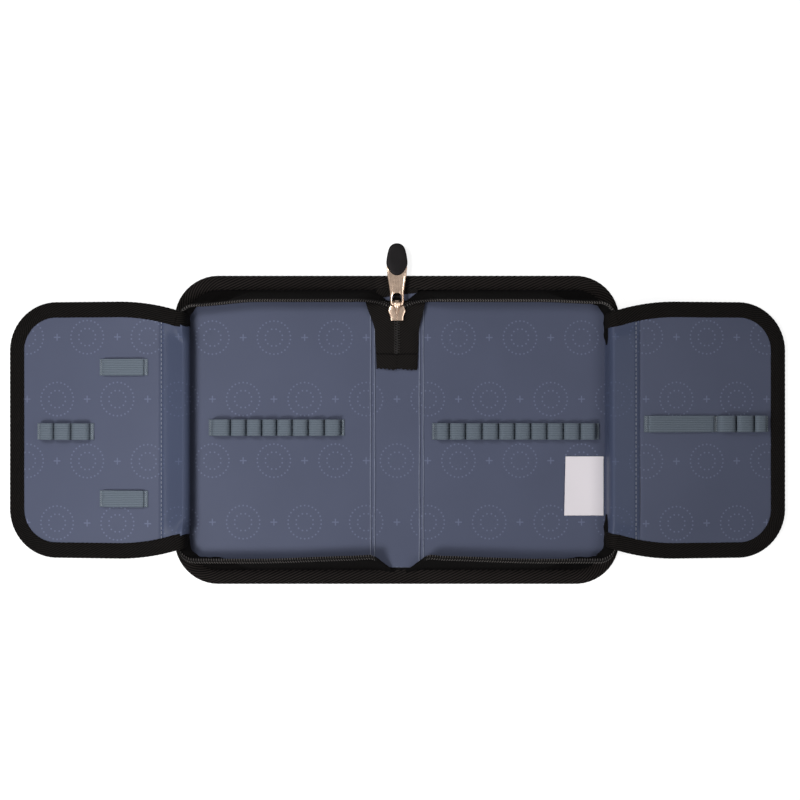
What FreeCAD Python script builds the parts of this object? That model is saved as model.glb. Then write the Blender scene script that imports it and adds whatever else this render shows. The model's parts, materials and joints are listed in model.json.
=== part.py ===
import FreeCAD
import Part
import Sketcher
import math
import os
from types import SimpleNamespace

Vector = FreeCAD.Vector
LEFT = -1
RIGHT = 1
SIDE_NAMES = {LEFT: "left", RIGHT: "right"}

# Driving dimensions in millimetres, flap_slope and pull_slope in degrees, the loop counts as plain numbers.
# Lengths run along Y (spine direction), widths along X, heights along Z from the table.
DRIVING = {
    "body_length": 205.0,
    "body_width": 296.0,
    "spine_width": 32.5,
    "corner_radius": 29.0,
    "cover_thickness": 0.7,
    "board_thickness": 1.6,
    "lining_thickness": 0.4,
    "layer": 0.6,
    "binding_width": 9.2,
    "binding_edge_radius": 0.9,
    "fold_gap": 0.1,
    "fold_relief": 1.2,
    "weld_offset": 1.3,
    "weld_width": 0.8,
    "weld_height": 0.3,
    "rim_height": 15.75,
    "rim_half_length": 86.75,
    "rim_half_width": 144.0,
    "rim_corner_radius": 24.0,
    "mitre_gap": 0.3,
    "chain_height": 1.85,
    "chain_band": 0.7,
    "tooth_pitch": 2.2,
    "tooth_length": 1.1,
    "tooth_reach": 1.25,
    "hinge_reach_x": 139.2,
    "hinge_height": 18.2,
    "hinge_tape_foot": 137.8,
    "hinge_tape_half": 70.0,
    "hinge_tape_gap": 0.3,
    "flap_length": 119.6,
    "flap_half": 84.6,
    "flap_corner_radius": 32.0,
    "flap_taper_radius": 137.0,
    "flap_taper_length": 45.0,
    "flap_binding_width": 10.0,
    "flap_face": 3.2,
    "flap_slope": 8.83,
    "strip_width": 18.5,
    "strip_thickness": 0.8,
    "strip_tongue_half": 71.0,
    "binding_start": 3.4,
    "binding_lap": 7.5,
    "elastic_width": 10.8,
    "elastic_thickness": 0.9,
    "loop_rise": 5.9,
    "loop_corner": 3.0,
    "loop_foot": 0.6,
    "left_loop_count": 8.0,
    "left_loop_pitch": 10.8,
    "left_loop_start": 37.0,
    "left_loop_y": 1.5,
    "right_loop_count": 10.0,
    "right_loop_pitch": 10.85,
    "right_loop_start": 25.2,
    "right_loop_y": -1.0,
    "flap_loop_pitch": 11.7,
    "flat_loop_rise": 3.2,
    "flat_loop_corner": 1.6,
    "tail_half_top": 15.6,
    "tail_half_bottom": 13.4,
    "tail_start": 40.4,
    "tail_end": 86.0,
    "tail_bottom": 4.2,
    "tail_slit": 1.5,
    "hem_length": 10.4,
    "tail_tooth_height": 0.8,
    "slider_tail": 72.7,
    "slider_length": 13.2,
    "slider_bow": 19.0,
    "slider_tail_width": 8.6,
    "slider_mouth_width": 9.4,
    "slider_bottom": 2.95,
    "slider_top": 7.4,
    "slider_plate": 0.9,
    "slider_channel": 6.6,
    "slider_channel_top": 5.95,
    "post_width": 1.1,
    "crown_width": 2.8,
    "crown_start": 75.2,
    "crown_end": 85.2,
    "crown_top": 11.2,
    "crown_bar": 1.3,
    "pivot_y": 82.5,
    "pivot_z": 8.6,
    "pull_slope": 3.0,
    "tab_thickness": 1.6,
    "tab_neck": 9.4,
    "tab_shoulder": 13.0,
    "tab_length": 20.0,
    "eye_width": 5.3,
    "eye_length": 7.9,
    "tongue_width": 6.0,
    "tongue_length": 8.0,
    "grip_width": 14.2,
    "grip_length": 21.6,
    "grip_thickness": 3.4,
    "label_inner": 112.3,
    "label_outer": 136.4,
    "label_low": -57.0,
    "label_high": -17.7,
    "label_thickness": 0.3,
}


class Size:
    """A length that carries its number and the sheet formula it comes from."""

    def __init__(self, value, text):
        self.value = value
        self.text = text

    def __add__(self, other):
        other = as_size(other)
        return Size(self.value + other.value, f"({self.text} + {other.text})")

    def __sub__(self, other):
        other = as_size(other)
        return Size(self.value - other.value, f"({self.text} - {other.text})")

    def __mul__(self, other):
        other = as_size(other)
        return Size(self.value * other.value, f"({self.text} * {other.text})")

    def __truediv__(self, other):
        other = as_size(other)
        return Size(self.value / other.value, f"({self.text} / {other.text})")

    def __neg__(self):
        return self * -1

    def root(self):
        return Size(math.sqrt(self.value), f"sqrt({self.text})")


def as_size(number):
    return number if isinstance(number, Size) else Size(float(number), f"({number})")


def make_sheet(doc):
    """Put the driving dimensions in the sheet and give them back as sizes."""
    sheet = doc.addObject("Spreadsheet::Sheet", "Sizes")
    sizes = SimpleNamespace()
    for row, (alias, number) in enumerate(DRIVING.items(), start=1):
        sheet.set(f"A{row}", alias)
        sheet.set(f"B{row}", str(number))
        sheet.setAlias(f"B{row}", alias)
        setattr(sizes, alias, Size(number, f"Sizes.{alias}"))
    doc.recompute()
    return sizes


doc = FreeCAD.newDocument("instrument_case")
d = make_sheet(doc)

# Derived sizes shared by several pieces.
half_length = d.body_length / 2
half_width = d.body_width / 2
half_spine = d.spine_width / 2
board_top = d.cover_thickness + d.board_thickness
floor_top = board_top + d.lining_thickness
seam_top = d.layer * 3
binding_top = d.layer * 4
wall_outer = d.binding_width + 0.1
wall_inner = wall_outer + d.layer
rim_top = floor_top + d.rim_height
tape_top = rim_top - d.chain_height
flap_back = d.flap_face - d.lining_thickness * 2 - d.board_thickness
tail_top = d.tail_bottom + d.layer
slider_end = d.slider_tail + d.slider_length


def new_body(label):
    body = doc.addObject("PartDesign::Body", label)
    body.Label = label
    return body


def new_sketch(body, role, height=0):
    """A sketch on one of the body's own origin planes, lifted along the plane's normal."""
    height = as_size(height)
    sketch = body.newObject("Sketcher::SketchObject", body.Name + "_outline")
    plane = next(item for item in body.Origin.OriginFeatures if item.Role == role)
    sketch.AttachmentSupport = [(plane, "")]
    sketch.MapMode = "FlatFace"
    sketch.AttachmentOffset = FreeCAD.Placement(Vector(0, 0, height.value), FreeCAD.Rotation())
    sketch.setExpression("AttachmentOffset.Base.z", height.text)
    return sketch


def arc_between(start, end, radius, turn):
    """The shorter arc from start to end; turn is 1 for a left turn and -1 for a right turn."""
    chord = end - start
    reach = math.sqrt(max(radius ** 2 - (chord.Length / 2) ** 2, 0.0))
    left = Vector(-chord.y, chord.x, 0).normalize()
    centre = (start + end) * 0.5 + left * (reach * turn)
    first, last = (start, end) if turn > 0 else (end, start)
    begin = math.atan2(first.y - centre.y, first.x - centre.x)
    finish = math.atan2(last.y - centre.y, last.x - centre.x)
    if finish <= begin:
        finish += 2 * math.pi
    return Part.ArcOfCircle(Part.Circle(centre, Vector(0, 0, 1), radius), begin, finish)


def draw(sketch, corners, arcs=None):
    """Draw a closed outline whose corners and radii are bound to the sheet.

    corners is a list of (x, y); arcs maps an edge's number to (radius, turn).
    """
    arcs = arcs or {}
    corners = [(as_size(x), as_size(y)) for x, y in corners]
    points = [Vector(x.value, y.value, 0) for x, y in corners]
    count = len(points)
    first = sketch.GeometryCount
    heads = []
    for number, start in enumerate(points):
        end = points[(number + 1) % count]
        if number in arcs:
            radius, turn = arcs[number]
            sketch.addGeometry(arc_between(start, end, as_size(radius).value, turn), False)
            heads.append((1, 2) if turn > 0 else (2, 1))
        else:
            sketch.addGeometry(Part.LineSegment(start, end), False)
            heads.append((1, 2))
    joins = []
    for number in range(count):
        following = (number + 1) % count
        joins.append(
            Sketcher.Constraint(
                "Coincident", first + number, heads[number][1], first + following, heads[following][0]
            )
        )
    sketch.addConstraint(joins)
    for number, (x, y) in enumerate(corners):
        edge = first + number
        head = heads[number][0]
        bind_constraint(sketch, Sketcher.Constraint("DistanceX", -1, 1, edge, head, x.value), x)
        bind_constraint(sketch, Sketcher.Constraint("DistanceY", -1, 1, edge, head, y.value), y)
    for number, (radius, turn) in arcs.items():
        radius = as_size(radius)
        bind_constraint(sketch, Sketcher.Constraint("Radius", first + number, radius.value), radius)


def bind_constraint(sketch, constraint, size):
    number = sketch.addConstraint(constraint)
    name = f"size{number}"
    sketch.renameConstraint(number, name)
    sketch.setExpression(f"Constraints.{name}", size.text)


def add_pad(body, sketch, height, symmetric=False):
    pad = body.newObject("PartDesign::Pad", body.Name + "_pad")
    pad.Profile = sketch
    pad.SideType = "Symmetric" if symmetric else "One side"
    pad.setExpression("Length", as_size(height).text)
    doc.recompute()
    return pad


def add_pocket(body, sketch, depth, symmetric=False):
    """Cut from the sketch against its normal, and make sure that something was cut."""
    before = body.Shape.Volume
    pocket = body.newObject("PartDesign::Pocket", body.Name + "_pocket")
    pocket.Profile = sketch
    pocket.SideType = "Symmetric" if symmetric else "One side"
    pocket.setExpression("Length", as_size(depth).text)
    doc.recompute()
    if body.Shape.Volume >= before:
        raise RuntimeError(f"{body.Label}: a pocket cut nothing")
    return pocket


def add_fillet(body, radius, wanted):
    """Round the edges of the body's last feature for which wanted(edge) holds."""
    base = body.Tip
    names = [f"Edge{number}" for number, edge in enumerate(base.Shape.Edges, start=1) if wanted(edge)]
    if not names:
        raise RuntimeError(f"{body.Label}: no edge to round")
    fillet = body.newObject("PartDesign::Fillet", body.Name + "_round")
    fillet.Base = (base, names)
    fillet.setExpression("Radius", as_size(radius).text)
    doc.recompute()
    return fillet


def panel(sketch, side, inset, inner):
    """Outline of one half's layer: square at the spine, round at the outer corners."""
    reach = half_width - inset
    half = half_length - inset
    radius = d.corner_radius - inset
    open_tray(sketch, side, inner, reach, half, radius)


def open_tray(sketch, side, inner, reach, half, radius):
    corners = [
        (inner * side, -half),
        ((reach - radius) * side, -half),
        (reach * side, radius - half),
        (reach * side, half - radius),
        ((reach - radius) * side, half),
        (inner * side, half),
    ]
    draw(sketch, corners, {1: (radius, side), 3: (radius, side)})


def rectangle(sketch, low_x, high_x, low_y, high_y):
    draw(sketch, [(low_x, low_y), (high_x, low_y), (high_x, high_y), (low_x, high_y)])


def at_height(edge, height):
    """True for an edge that lies wholly at one height."""
    box = edge.BoundBox
    return abs(box.ZMin - height) < 1e-6 and abs(box.ZMax - height) < 1e-6


# Floor sandwich of the halves


def outer_cover(side):
    """Padded skin under a half, pinched to a thin flange inside the bound edge."""
    body = new_body(f"{SIDE_NAMES[side]}_outer_cover")
    inner = half_spine + d.fold_gap
    flange = new_sketch(body, "XY_Plane", d.layer)
    panel(flange, side, d.layer, inner)
    add_pad(body, flange, d.layer)
    face = new_sketch(body, "XY_Plane")
    panel(face, side, d.binding_width + 0.2, inner)
    add_pad(body, face, d.cover_thickness)
    seat = new_sketch(body, "XY_Plane", d.layer * 2)
    panel(seat, side, wall_inner + 0.7, inner)
    add_pocket(body, seat, d.layer * 2 - d.cover_thickness)
    return body


def floor_board(side):
    """Stiffener of a half, kept back from the fold."""
    body = new_body(f"{SIDE_NAMES[side]}_board")
    sketch = new_sketch(body, "XY_Plane", d.cover_thickness)
    panel(sketch, side, wall_inner + 0.8, half_spine + d.fold_relief)
    add_pad(body, sketch, d.board_thickness)
    return body


def floor_lining(side):
    """Lining of a half with the welded ridge beside the fold."""
    body = new_body(f"{SIDE_NAMES[side]}_lining")
    sketch = new_sketch(body, "XY_Plane", board_top)
    panel(sketch, side, wall_inner + 0.1, half_spine + d.fold_gap)
    add_pad(body, sketch, d.lining_thickness)
    add_weld(body, side, half_spine + d.weld_offset)
    return body


def add_weld(body, side, offset):
    """A low ridge along the whole fold, centred at the given distance from the spine's middle."""
    ridge = new_sketch(body, "XY_Plane", floor_top)
    half = half_length - wall_inner - 0.1
    low = (offset - d.weld_width / 2) * side
    high = (offset + d.weld_width / 2) * side
    rectangle(ridge, low, high, -half, half)
    add_pad(body, ridge, d.weld_height)


def edge_binding(side):
    """Folded tape round the three outer edges: two legs and the fold between them."""
    body = new_body(f"{SIDE_NAMES[side]}_edge_binding")
    inner = half_spine + d.fold_gap
    outer = new_sketch(body, "XY_Plane")
    panel(outer, side, as_size(0), inner)
    add_pad(body, outer, binding_top)
    spine_side = inner.value + 0.1
    add_fillet(body, d.binding_edge_radius, lambda edge: on_rim(edge, 0, binding_top.value, spine_side))
    window = new_sketch(body, "XY_Plane", binding_top)
    panel(window, side, d.binding_width, inner - 1)
    add_pocket(body, window, binding_top)
    slot = new_sketch(body, "XY_Plane", seam_top)
    panel(slot, side, d.layer, inner - 1)
    add_pocket(body, slot, d.layer * 2)
    return body


def on_rim(edge, low, high, start):
    """True for the upper and lower edges of a plate, but not those along its inner end."""
    level = at_height(edge, low) or at_height(edge, high)
    return level and abs(edge.BoundBox.Center.x) > start


def zip_tape(side):
    """Seam flange and standing wall; the wall's ends are mitred so that the halves can fold up.

    The wall stands straight beside the floor sandwich and leans only above it.
    """
    body = new_body(f"{SIDE_NAMES[side]}_zip_tape")
    inner = half_spine + d.fold_gap
    flange = new_sketch(body, "XY_Plane", d.layer * 2)
    panel(flange, side, d.layer, inner)
    add_pad(body, flange, d.layer)
    stand = new_sketch(body, "XY_Plane", seam_top)
    panel(stand, side, wall_outer, inner)
    add_pad(body, stand, floor_top - seam_top)
    loft_wall(body, side, inner, "PartDesign::AdditiveLoft", wall_outer, d.layer / 2)
    window = new_sketch(body, "XY_Plane", floor_top)
    panel(window, side, wall_inner, inner - 1)
    add_pocket(body, window, floor_top - d.layer * 2)
    loft_wall(body, side, inner - 1, "PartDesign::SubtractiveLoft", wall_inner, -d.layer / 2)
    mitre = new_sketch(body, "XZ_Plane")
    low = (half_spine + d.mitre_gap) * side
    clear = rim_top - floor_top + 4
    corners = [
        (low, floor_top),
        (low + clear * side, floor_top + clear),
        ((half_spine - 2) * side, floor_top + clear),
        ((half_spine - 2) * side, floor_top),
    ]
    draw(mitre, corners)
    add_pocket(body, mitre, d.body_length + 10, symmetric=True)
    return body


def loft_wall(body, side, inner, kind, inset, offset):
    """Loft between the floor and the rim: the long runs lean in and the side leans out."""
    foot = new_sketch(body, "XY_Plane", floor_top)
    panel(foot, side, inset, inner)
    rim = new_sketch(body, "XY_Plane", tape_top)
    open_tray(rim, side, inner, d.rim_half_width + offset, d.rim_half_length + offset,
              d.rim_corner_radius + offset)
    loft = body.newObject(kind, body.Name + "_loft")
    loft.Profile = foot
    loft.Sections = [rim]
    loft.Ruled = True
    doc.recompute()


def comb(path, length, band, tooth_reach, tooth_length, pitch):
    """Flat comb that follows a path: a plain back edge and square teeth along the other.

    path(s, offset) gives the point at arc length s, offset towards the teeth.
    """
    count = int(length / pitch)
    step = length / count
    points = [path(0, -band / 2), path(0, band / 2)]
    for number in range(count):
        middle = (number + 0.5) * step
        low = middle - tooth_length / 2
        high = middle + tooth_length / 2
        points.append(path(low, band / 2))
        points.append(path(low, band / 2 + tooth_reach))
        points.append(path(high, band / 2 + tooth_reach))
        points.append(path(high, band / 2))
    points.append(path(length, band / 2))
    back = [path(length * number / 60, -band / 2) for number in range(60, 0, -1)]
    return Part.Face(Part.makePolygon(points + back + [points[0]]))


def rim_path(side):
    """Arc-length path along a half's rim, from the top run round the outer side to the bottom run."""
    reach = d.rim_half_width.value
    half = d.rim_half_length.value
    radius = d.rim_corner_radius.value
    start = half_spine.value + d.rim_height.value + 2 * d.mitre_gap.value
    run = reach - radius - start
    bend = radius * math.pi / 2
    stand = 2 * (half - radius)
    length = 2 * run + 2 * bend + stand

    def place(s, offset):
        if s > length / 2:
            point = place(length - s, offset)
            return Vector(point.x, -point.y, 0)
        if s <= run:
            return Vector(side * (start + s), half - offset, 0)
        if s <= run + bend:
            angle = (s - run) / radius
            reduced = radius - offset
            x = reach - radius + reduced * math.sin(angle)
            return Vector(side * x, half - radius + reduced * math.cos(angle), 0)
        return Vector(side * (reach - offset), half - radius - (s - run - bend), 0)

    return place, length


def solid_feature(label, shape):
    feature = doc.addObject("Part::Feature", label)
    feature.Label = label
    feature.Shape = shape
    return feature


def zip_chain(side):
    """Row of teeth along the rim of a half."""
    place, length = rim_path(side)
    face = comb(place, length, d.chain_band.value, d.tooth_reach.value, d.tooth_length.value,
                d.tooth_pitch.value)
    feature = solid_feature(f"{SIDE_NAMES[side]}_zip_chain", face.extrude(Vector(0, 0, d.chain_height.value)))
    feature.Placement.Base = Vector(0, 0, tape_top.value)
    return feature


def hinge_tape(side):
    """Standing sheet inside the outer wall that carries the flap's hinge."""
    body = new_body(f"{SIDE_NAMES[side]}_hinge_tape")
    sketch = new_sketch(body, "XZ_Plane")
    top = d.hinge_height - d.hinge_tape_gap
    outer = d.hinge_reach_x + d.hinge_tape_gap + d.strip_thickness
    corners = [
        ((d.hinge_tape_foot - d.strip_thickness) * side, floor_top),
        (d.hinge_tape_foot * side, floor_top),
        (outer * side, top),
        ((outer - d.strip_thickness) * side, top),
    ]
    draw(sketch, corners)
    add_pad(body, sketch, d.hinge_tape_half * 2, symmetric=True)
    return body


# Elastic loops


def elastic_ribbon(label, count, pitch, rise, corner):
    """One ribbon sewn down at even steps, with an arch between each two seams.

    The ribbon lies along its own X from 0, centred on Y, with its feet at Z = 0.
    """
    body = new_body(label)
    thick = d.elastic_thickness
    foot = d.loop_foot
    inner = corner - thick
    pitch = as_size(pitch)
    sketch = new_sketch(body, "XZ_Plane")
    corners = [
        (0, 0),
        (foot + thick, 0),
        (foot + thick, rise - corner),
        (foot + corner, rise - thick),
        (pitch - foot - corner, rise - thick),
        (pitch - foot - thick, rise - corner),
        (pitch - foot - thick, 0),
        (pitch, 0),
        (pitch, thick),
        (pitch - foot, thick),
        (pitch - foot, rise - corner),
        (pitch - foot - corner, rise),
        (foot + corner, rise),
        (foot, rise - corner),
        (foot, thick),
        (0, thick),
    ]
    draw(sketch, corners, {2: (inner, -1), 4: (inner, -1), 10: (corner, 1), 12: (corner, 1)})
    arch = add_pad(body, sketch, d.elastic_width, symmetric=True)
    if count.value > 1:
        pattern = body.newObject("PartDesign::LinearPattern", label + "_row")
        pattern.Originals = [arch]
        axis = next(item for item in body.Origin.OriginFeatures if item.Role == "X_Axis")
        pattern.Direction = (axis, [""])
        pattern.setExpression("Length", ((count - 1) * pitch).text)
        pattern.setExpression("Occurrences", count.text)
        body.Tip = pattern
        doc.recompute()
    return body


def pen_loops(side):
    """The ribbon of pen loops on a half's floor."""
    name = SIDE_NAMES[side]
    count = getattr(d, name + "_loop_count")
    pitch = getattr(d, name + "_loop_pitch")
    start = getattr(d, name + "_loop_start")
    body = elastic_ribbon(f"{name}_pen_loops", count, pitch, d.loop_rise, d.loop_corner)
    low = start.value if side == RIGHT else -start.value - count.value * pitch.value
    body.Placement.Base = Vector(low, getattr(d, name + "_loop_y").value, floor_top.value)
    return body


def care_label():
    """Bare ribbon lying on the right floor."""
    body = new_body("care_label")
    sketch = new_sketch(body, "XY_Plane", floor_top)
    rectangle(sketch, d.label_inner, d.label_outer, d.label_low, d.label_high)
    add_pad(body, sketch, d.label_thickness)
    return body


# Flaps, drawn flat with the hinge axis on Y and then sloped down to the table


def flap_place(side):
    """Placement of a flap's own frame: its hinge axis, turned so that the free edge meets the table."""
    turn = FreeCAD.Rotation(Vector(0, 1, 0), side * d.flap_slope.value)
    return FreeCAD.Placement(Vector(side * d.hinge_reach_x.value, 0, d.hinge_height.value), turn)


def flap_outline(sketch, side, inset, start):
    """Flap outline: round outer corners, and long sides that draw in towards the hinge."""
    inset = as_size(inset)
    half = d.flap_half - inset
    reach = d.flap_length - inset
    corner = d.flap_corner_radius - inset
    taper = d.flap_taper_radius - inset
    run = d.flap_taper_length - start
    near = half - taper + (taper * taper - run * run).root()
    corners = [
        (start * side, -near),
        (d.flap_taper_length * side, -half),
        ((reach - corner) * side, -half),
        (reach * side, corner - half),
        (reach * side, half - corner),
        ((reach - corner) * side, half),
        (d.flap_taper_length * side, half),
        (start * side, near),
    ]
    draw(sketch, corners, {0: (taper, side), 2: (corner, side), 4: (corner, side), 6: (taper, side)})


def flap_layer(side, name, inset, start, low, thickness):
    body = new_body(f"{SIDE_NAMES[side]}_flap_{name}")
    sketch = new_sketch(body, "XY_Plane", low)
    flap_outline(sketch, side, inset, as_size(start))
    add_pad(body, sketch, thickness)
    body.Placement = flap_place(side)
    return body


def flap_binding(side):
    """Folded tape round a flap; near the hinge only its upper leg runs on over the strip."""
    body = new_body(f"{SIDE_NAMES[side]}_flap_binding")
    low = flap_back - d.layer
    high = d.flap_face + d.layer
    outer = new_sketch(body, "XY_Plane", low)
    flap_outline(outer, side, as_size(0), d.binding_start)
    add_pad(body, outer, high - low)
    hinge_side = d.binding_start.value + 0.1
    add_fillet(body, d.binding_edge_radius, lambda edge: on_rim(edge, low.value, high.value, hinge_side))
    window = new_sketch(body, "XY_Plane", high)
    flap_outline(window, side, d.flap_binding_width, d.binding_start - 1)
    add_pocket(body, window, high - low)
    slot = new_sketch(body, "XY_Plane", d.flap_face)
    flap_outline(slot, side, d.layer, d.binding_start - 1)
    add_pocket(body, slot, d.flap_face - flap_back)
    lap = new_sketch(body, "XY_Plane", d.flap_face)
    rectangle(lap, (d.binding_start - 1) * side, d.binding_lap * side, -d.flap_half, d.flap_half)
    add_pocket(body, lap, d.flap_face - low)
    body.Placement = flap_place(side)
    return body


def hinge_strip(side):
    """Flexible strip of a flap: flat on the face, rolled down to the hinge axis, narrow where it enters the case."""
    body = new_body(f"{SIDE_NAMES[side]}_flap_hinge_strip")
    face = d.flap_face
    thick = d.strip_thickness
    sketch = new_sketch(body, "XZ_Plane")
    corners = [
        (0, 0),
        (thick * side, 0),
        (face * side, face - thick),
        (d.strip_width * side, face - thick),
        (d.strip_width * side, face),
        (face * side, face),
    ]
    draw(sketch, corners, {1: (face - thick, -side), 5: (face, side)})
    add_pad(body, sketch, d.flap_half * 2, symmetric=True)
    trim_strip(body, side)
    body.Placement = flap_place(side)
    return body


def trim_strip(body, side):
    """Cut the strip's ends back to the flap's outline and to the tongue at the hinge."""
    start = d.binding_start
    half = d.flap_half - d.layer
    taper = d.flap_taper_radius - d.layer
    beyond = d.flap_half + 5
    for end in (-1, 1):
        sketch = new_sketch(body, "XY_Plane", d.flap_face + 1)
        near = taper_half(half, taper, start)
        far = taper_half(half, taper, d.strip_width + 1)
        corners = [
            (-side, d.strip_tongue_half * end),
            (start * side, d.strip_tongue_half * end),
            (start * side, near * end),
            ((d.strip_width + 1) * side, far * end),
            ((d.strip_width + 1) * side, beyond * end),
            (-side, beyond * end),
        ]
        draw(sketch, corners, {2: (taper, -side * end)})
        add_pocket(body, sketch, d.flap_face + 2)


def taper_half(half, taper, start):
    """Half length of a tapered outline at a distance from the hinge."""
    run = d.flap_taper_length - start
    return half - taper + (taper * taper - run * run).root()


def flap_loop(label, side, count, pitch, near, middle, rise, corner):
    """An elastic ribbon on a flap's inner face; near is its end nearest to the hinge."""
    body = elastic_ribbon(label, as_size(count), pitch, rise, corner)
    low = near if side == RIGHT else -near - count * as_size(pitch).value
    local = FreeCAD.Placement(Vector(low, middle, d.flap_face.value), FreeCAD.Rotation())
    body.Placement = flap_place(side).multiply(local)
    return body


def make_flap(side):
    """All layers of one flap."""
    lining_low = d.flap_face - d.lining_thickness
    return [
        flap_layer(side, "outer_lining", d.layer, d.strip_width + 0.2, flap_back, d.lining_thickness),
        flap_layer(side, "board", 2, d.strip_width + 1, flap_back + d.lining_thickness, d.board_thickness),
        flap_layer(side, "inner_lining", d.layer, d.strip_width + 0.2, lining_low, d.lining_thickness),
        flap_binding(side),
        hinge_strip(side),
    ]


# Spine


def spine_outer_cover():
    """Skin under the spine with thicker seam ends for the bindings."""
    body = new_body("spine_outer_cover")
    inner = half_spine - d.fold_gap
    flange = new_sketch(body, "XY_Plane", d.layer)
    half = half_length - d.layer
    rectangle(flange, -inner, inner, -half, half)
    add_pad(body, flange, d.layer * 2)
    face = new_sketch(body, "XY_Plane")
    face_half = half_length - d.binding_width - 0.2
    rectangle(face, -inner, inner, -face_half, face_half)
    add_pad(body, face, d.cover_thickness)
    seat = new_sketch(body, "XY_Plane", seam_top)
    seat_half = half_length - wall_inner - 0.7
    rectangle(seat, -inner - 1, inner + 1, -seat_half, seat_half)
    add_pocket(body, seat, seam_top - d.cover_thickness)
    return body


def spine_board():
    body = new_body("spine_board")
    sketch = new_sketch(body, "XY_Plane", d.cover_thickness)
    inner = half_spine - d.fold_relief
    half = half_length - wall_inner - 0.8
    rectangle(sketch, -inner, inner, -half, half)
    add_pad(body, sketch, d.board_thickness)
    return body


def spine_lining():
    """Lining of the spine with a welded ridge beside each fold."""
    body = new_body("spine_lining")
    sketch = new_sketch(body, "XY_Plane", board_top)
    inner = half_spine - d.fold_gap
    half = half_length - wall_inner - 0.1
    rectangle(sketch, -inner, inner, -half, half)
    add_pad(body, sketch, d.lining_thickness)
    for side in (LEFT, RIGHT):
        add_weld(body, side, half_spine - d.weld_offset)
    return body


def spine_binding(label, end):
    """Folded tape over one end of the spine: a channel section run along X."""
    body = new_body(label)
    sketch = new_sketch(body, "YZ_Plane")
    near = (half_length - d.binding_width) * end
    web = (half_length - d.layer) * end
    far = half_length * end
    bend = d.binding_edge_radius
    corners = [
        (near, 0),
        (far - bend * end, 0),
        (far, bend),
        (far, binding_top - bend),
        (far - bend * end, binding_top),
        (near, binding_top),
        (near, seam_top),
        (web, seam_top),
        (web, d.layer),
        (near, d.layer),
    ]
    draw(sketch, corners, {1: (bend, end), 3: (bend, end)})
    add_pad(body, sketch, (half_spine - d.fold_gap) * 2, symmetric=True)
    return body


def gusset(label, corners):
    """Flat web of tape through three or four points, one layer thick."""
    face = Part.Face(Part.makePolygon(corners + corners[:1]))
    normal = face.normalAt(0, 0)
    if normal.z < 0:
        normal = -normal
    return solid_feature(label, face.extrude(normal * d.layer.value))


def wall_point(x, height, end):
    """A point on the middle of a long wall's run, at a height above the table."""
    foot = half_length.value - wall_outer.value
    share = (height - floor_top.value) / (tape_top.value - floor_top.value)
    return Vector(x, end * (foot + (d.rim_half_length.value - foot) * share), height)


def zip_lead(side):
    """Slack tape from the mitred end of the top wall down to the slider's mouth."""
    seam_x = half_spine.value - d.fold_gap.value
    rim_x = half_spine.value + d.rim_height.value - d.mitre_gap.value
    mouth = Vector(side * (d.grip_width.value / 2 + 1), slider_end.value - 0.4, d.pivot_z.value)
    corners = [
        wall_point(side * seam_x, floor_top.value, 1),
        wall_point(side * rim_x, rim_top.value, 1),
        mouth,
    ]
    return gusset(f"{SIDE_NAMES[side]}_zip_lead", corners)


def zip_foot(side):
    """Tape end that runs out from the bottom wall on to the bound edge of the spine."""
    seam_x = half_spine.value - d.fold_gap.value
    rim_x = half_spine.value + d.rim_height.value - d.mitre_gap.value
    low = floor_top.value
    corners = [
        wall_point(side * seam_x, low, -1),
        wall_point(side * rim_x, rim_top.value, -1),
        wall_point(side * half_spine.value, rim_top.value - d.chain_height.value, -1),
        wall_point(side * d.tail_slit.value, low, -1),
    ]
    return gusset(f"{SIDE_NAMES[side]}_zip_foot", corners)


def zip_tail_tape():
    """The two tape ends below the slider, joined at the hem and slit between the rows of teeth."""
    body = new_body("zip_tail_tape")
    sketch = new_sketch(body, "XY_Plane", d.tail_bottom)
    slit = d.tail_slit / 2
    slit_start = d.tail_start + d.hem_length
    corners = [
        (-d.tail_half_bottom, d.tail_start),
        (d.tail_half_bottom, d.tail_start),
        (d.tail_half_top, d.tail_end),
        (slit, d.tail_end),
        (slit, slit_start),
        (-slit, slit_start),
        (-slit, d.tail_end),
        (-d.tail_half_top, d.tail_end),
    ]
    draw(sketch, corners)
    add_pad(body, sketch, d.layer)
    return body


def zip_tail_hem():
    """The folded end of the tail, which lies on the spine's lining."""
    body = new_body("zip_tail_hem")
    sketch = new_sketch(body, "XY_Plane", floor_top)
    half = d.tail_half_bottom - 0.4
    rectangle(sketch, -half, half, d.tail_start + 0.4, d.tail_start + d.hem_length)
    add_pad(body, sketch, d.tail_bottom - floor_top)
    return body


def zip_tail_chain():
    """The two closed rows of teeth on the tail."""
    start = d.tail_start.value + d.hem_length.value + 0.6
    length = d.tail_end.value - start
    band = d.chain_band.value
    reach = d.tooth_reach.value
    rows = []
    for side in (LEFT, RIGHT):
        axis = d.tail_slit.value / 2 + reach + band / 2

        def place(s, offset, side=side, axis=axis):
            return Vector(side * (axis - offset), start + s, 0)

        face = comb(place, length, band, reach, d.tooth_length.value, d.tooth_pitch.value)
        rows.append(face.extrude(Vector(0, 0, d.tail_tooth_height.value)))
    feature = solid_feature("zip_tail_chain", Part.makeCompound(rows))
    feature.Placement.Base = Vector(0, 0, tail_top.value)
    return feature


# Slider and pull


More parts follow.
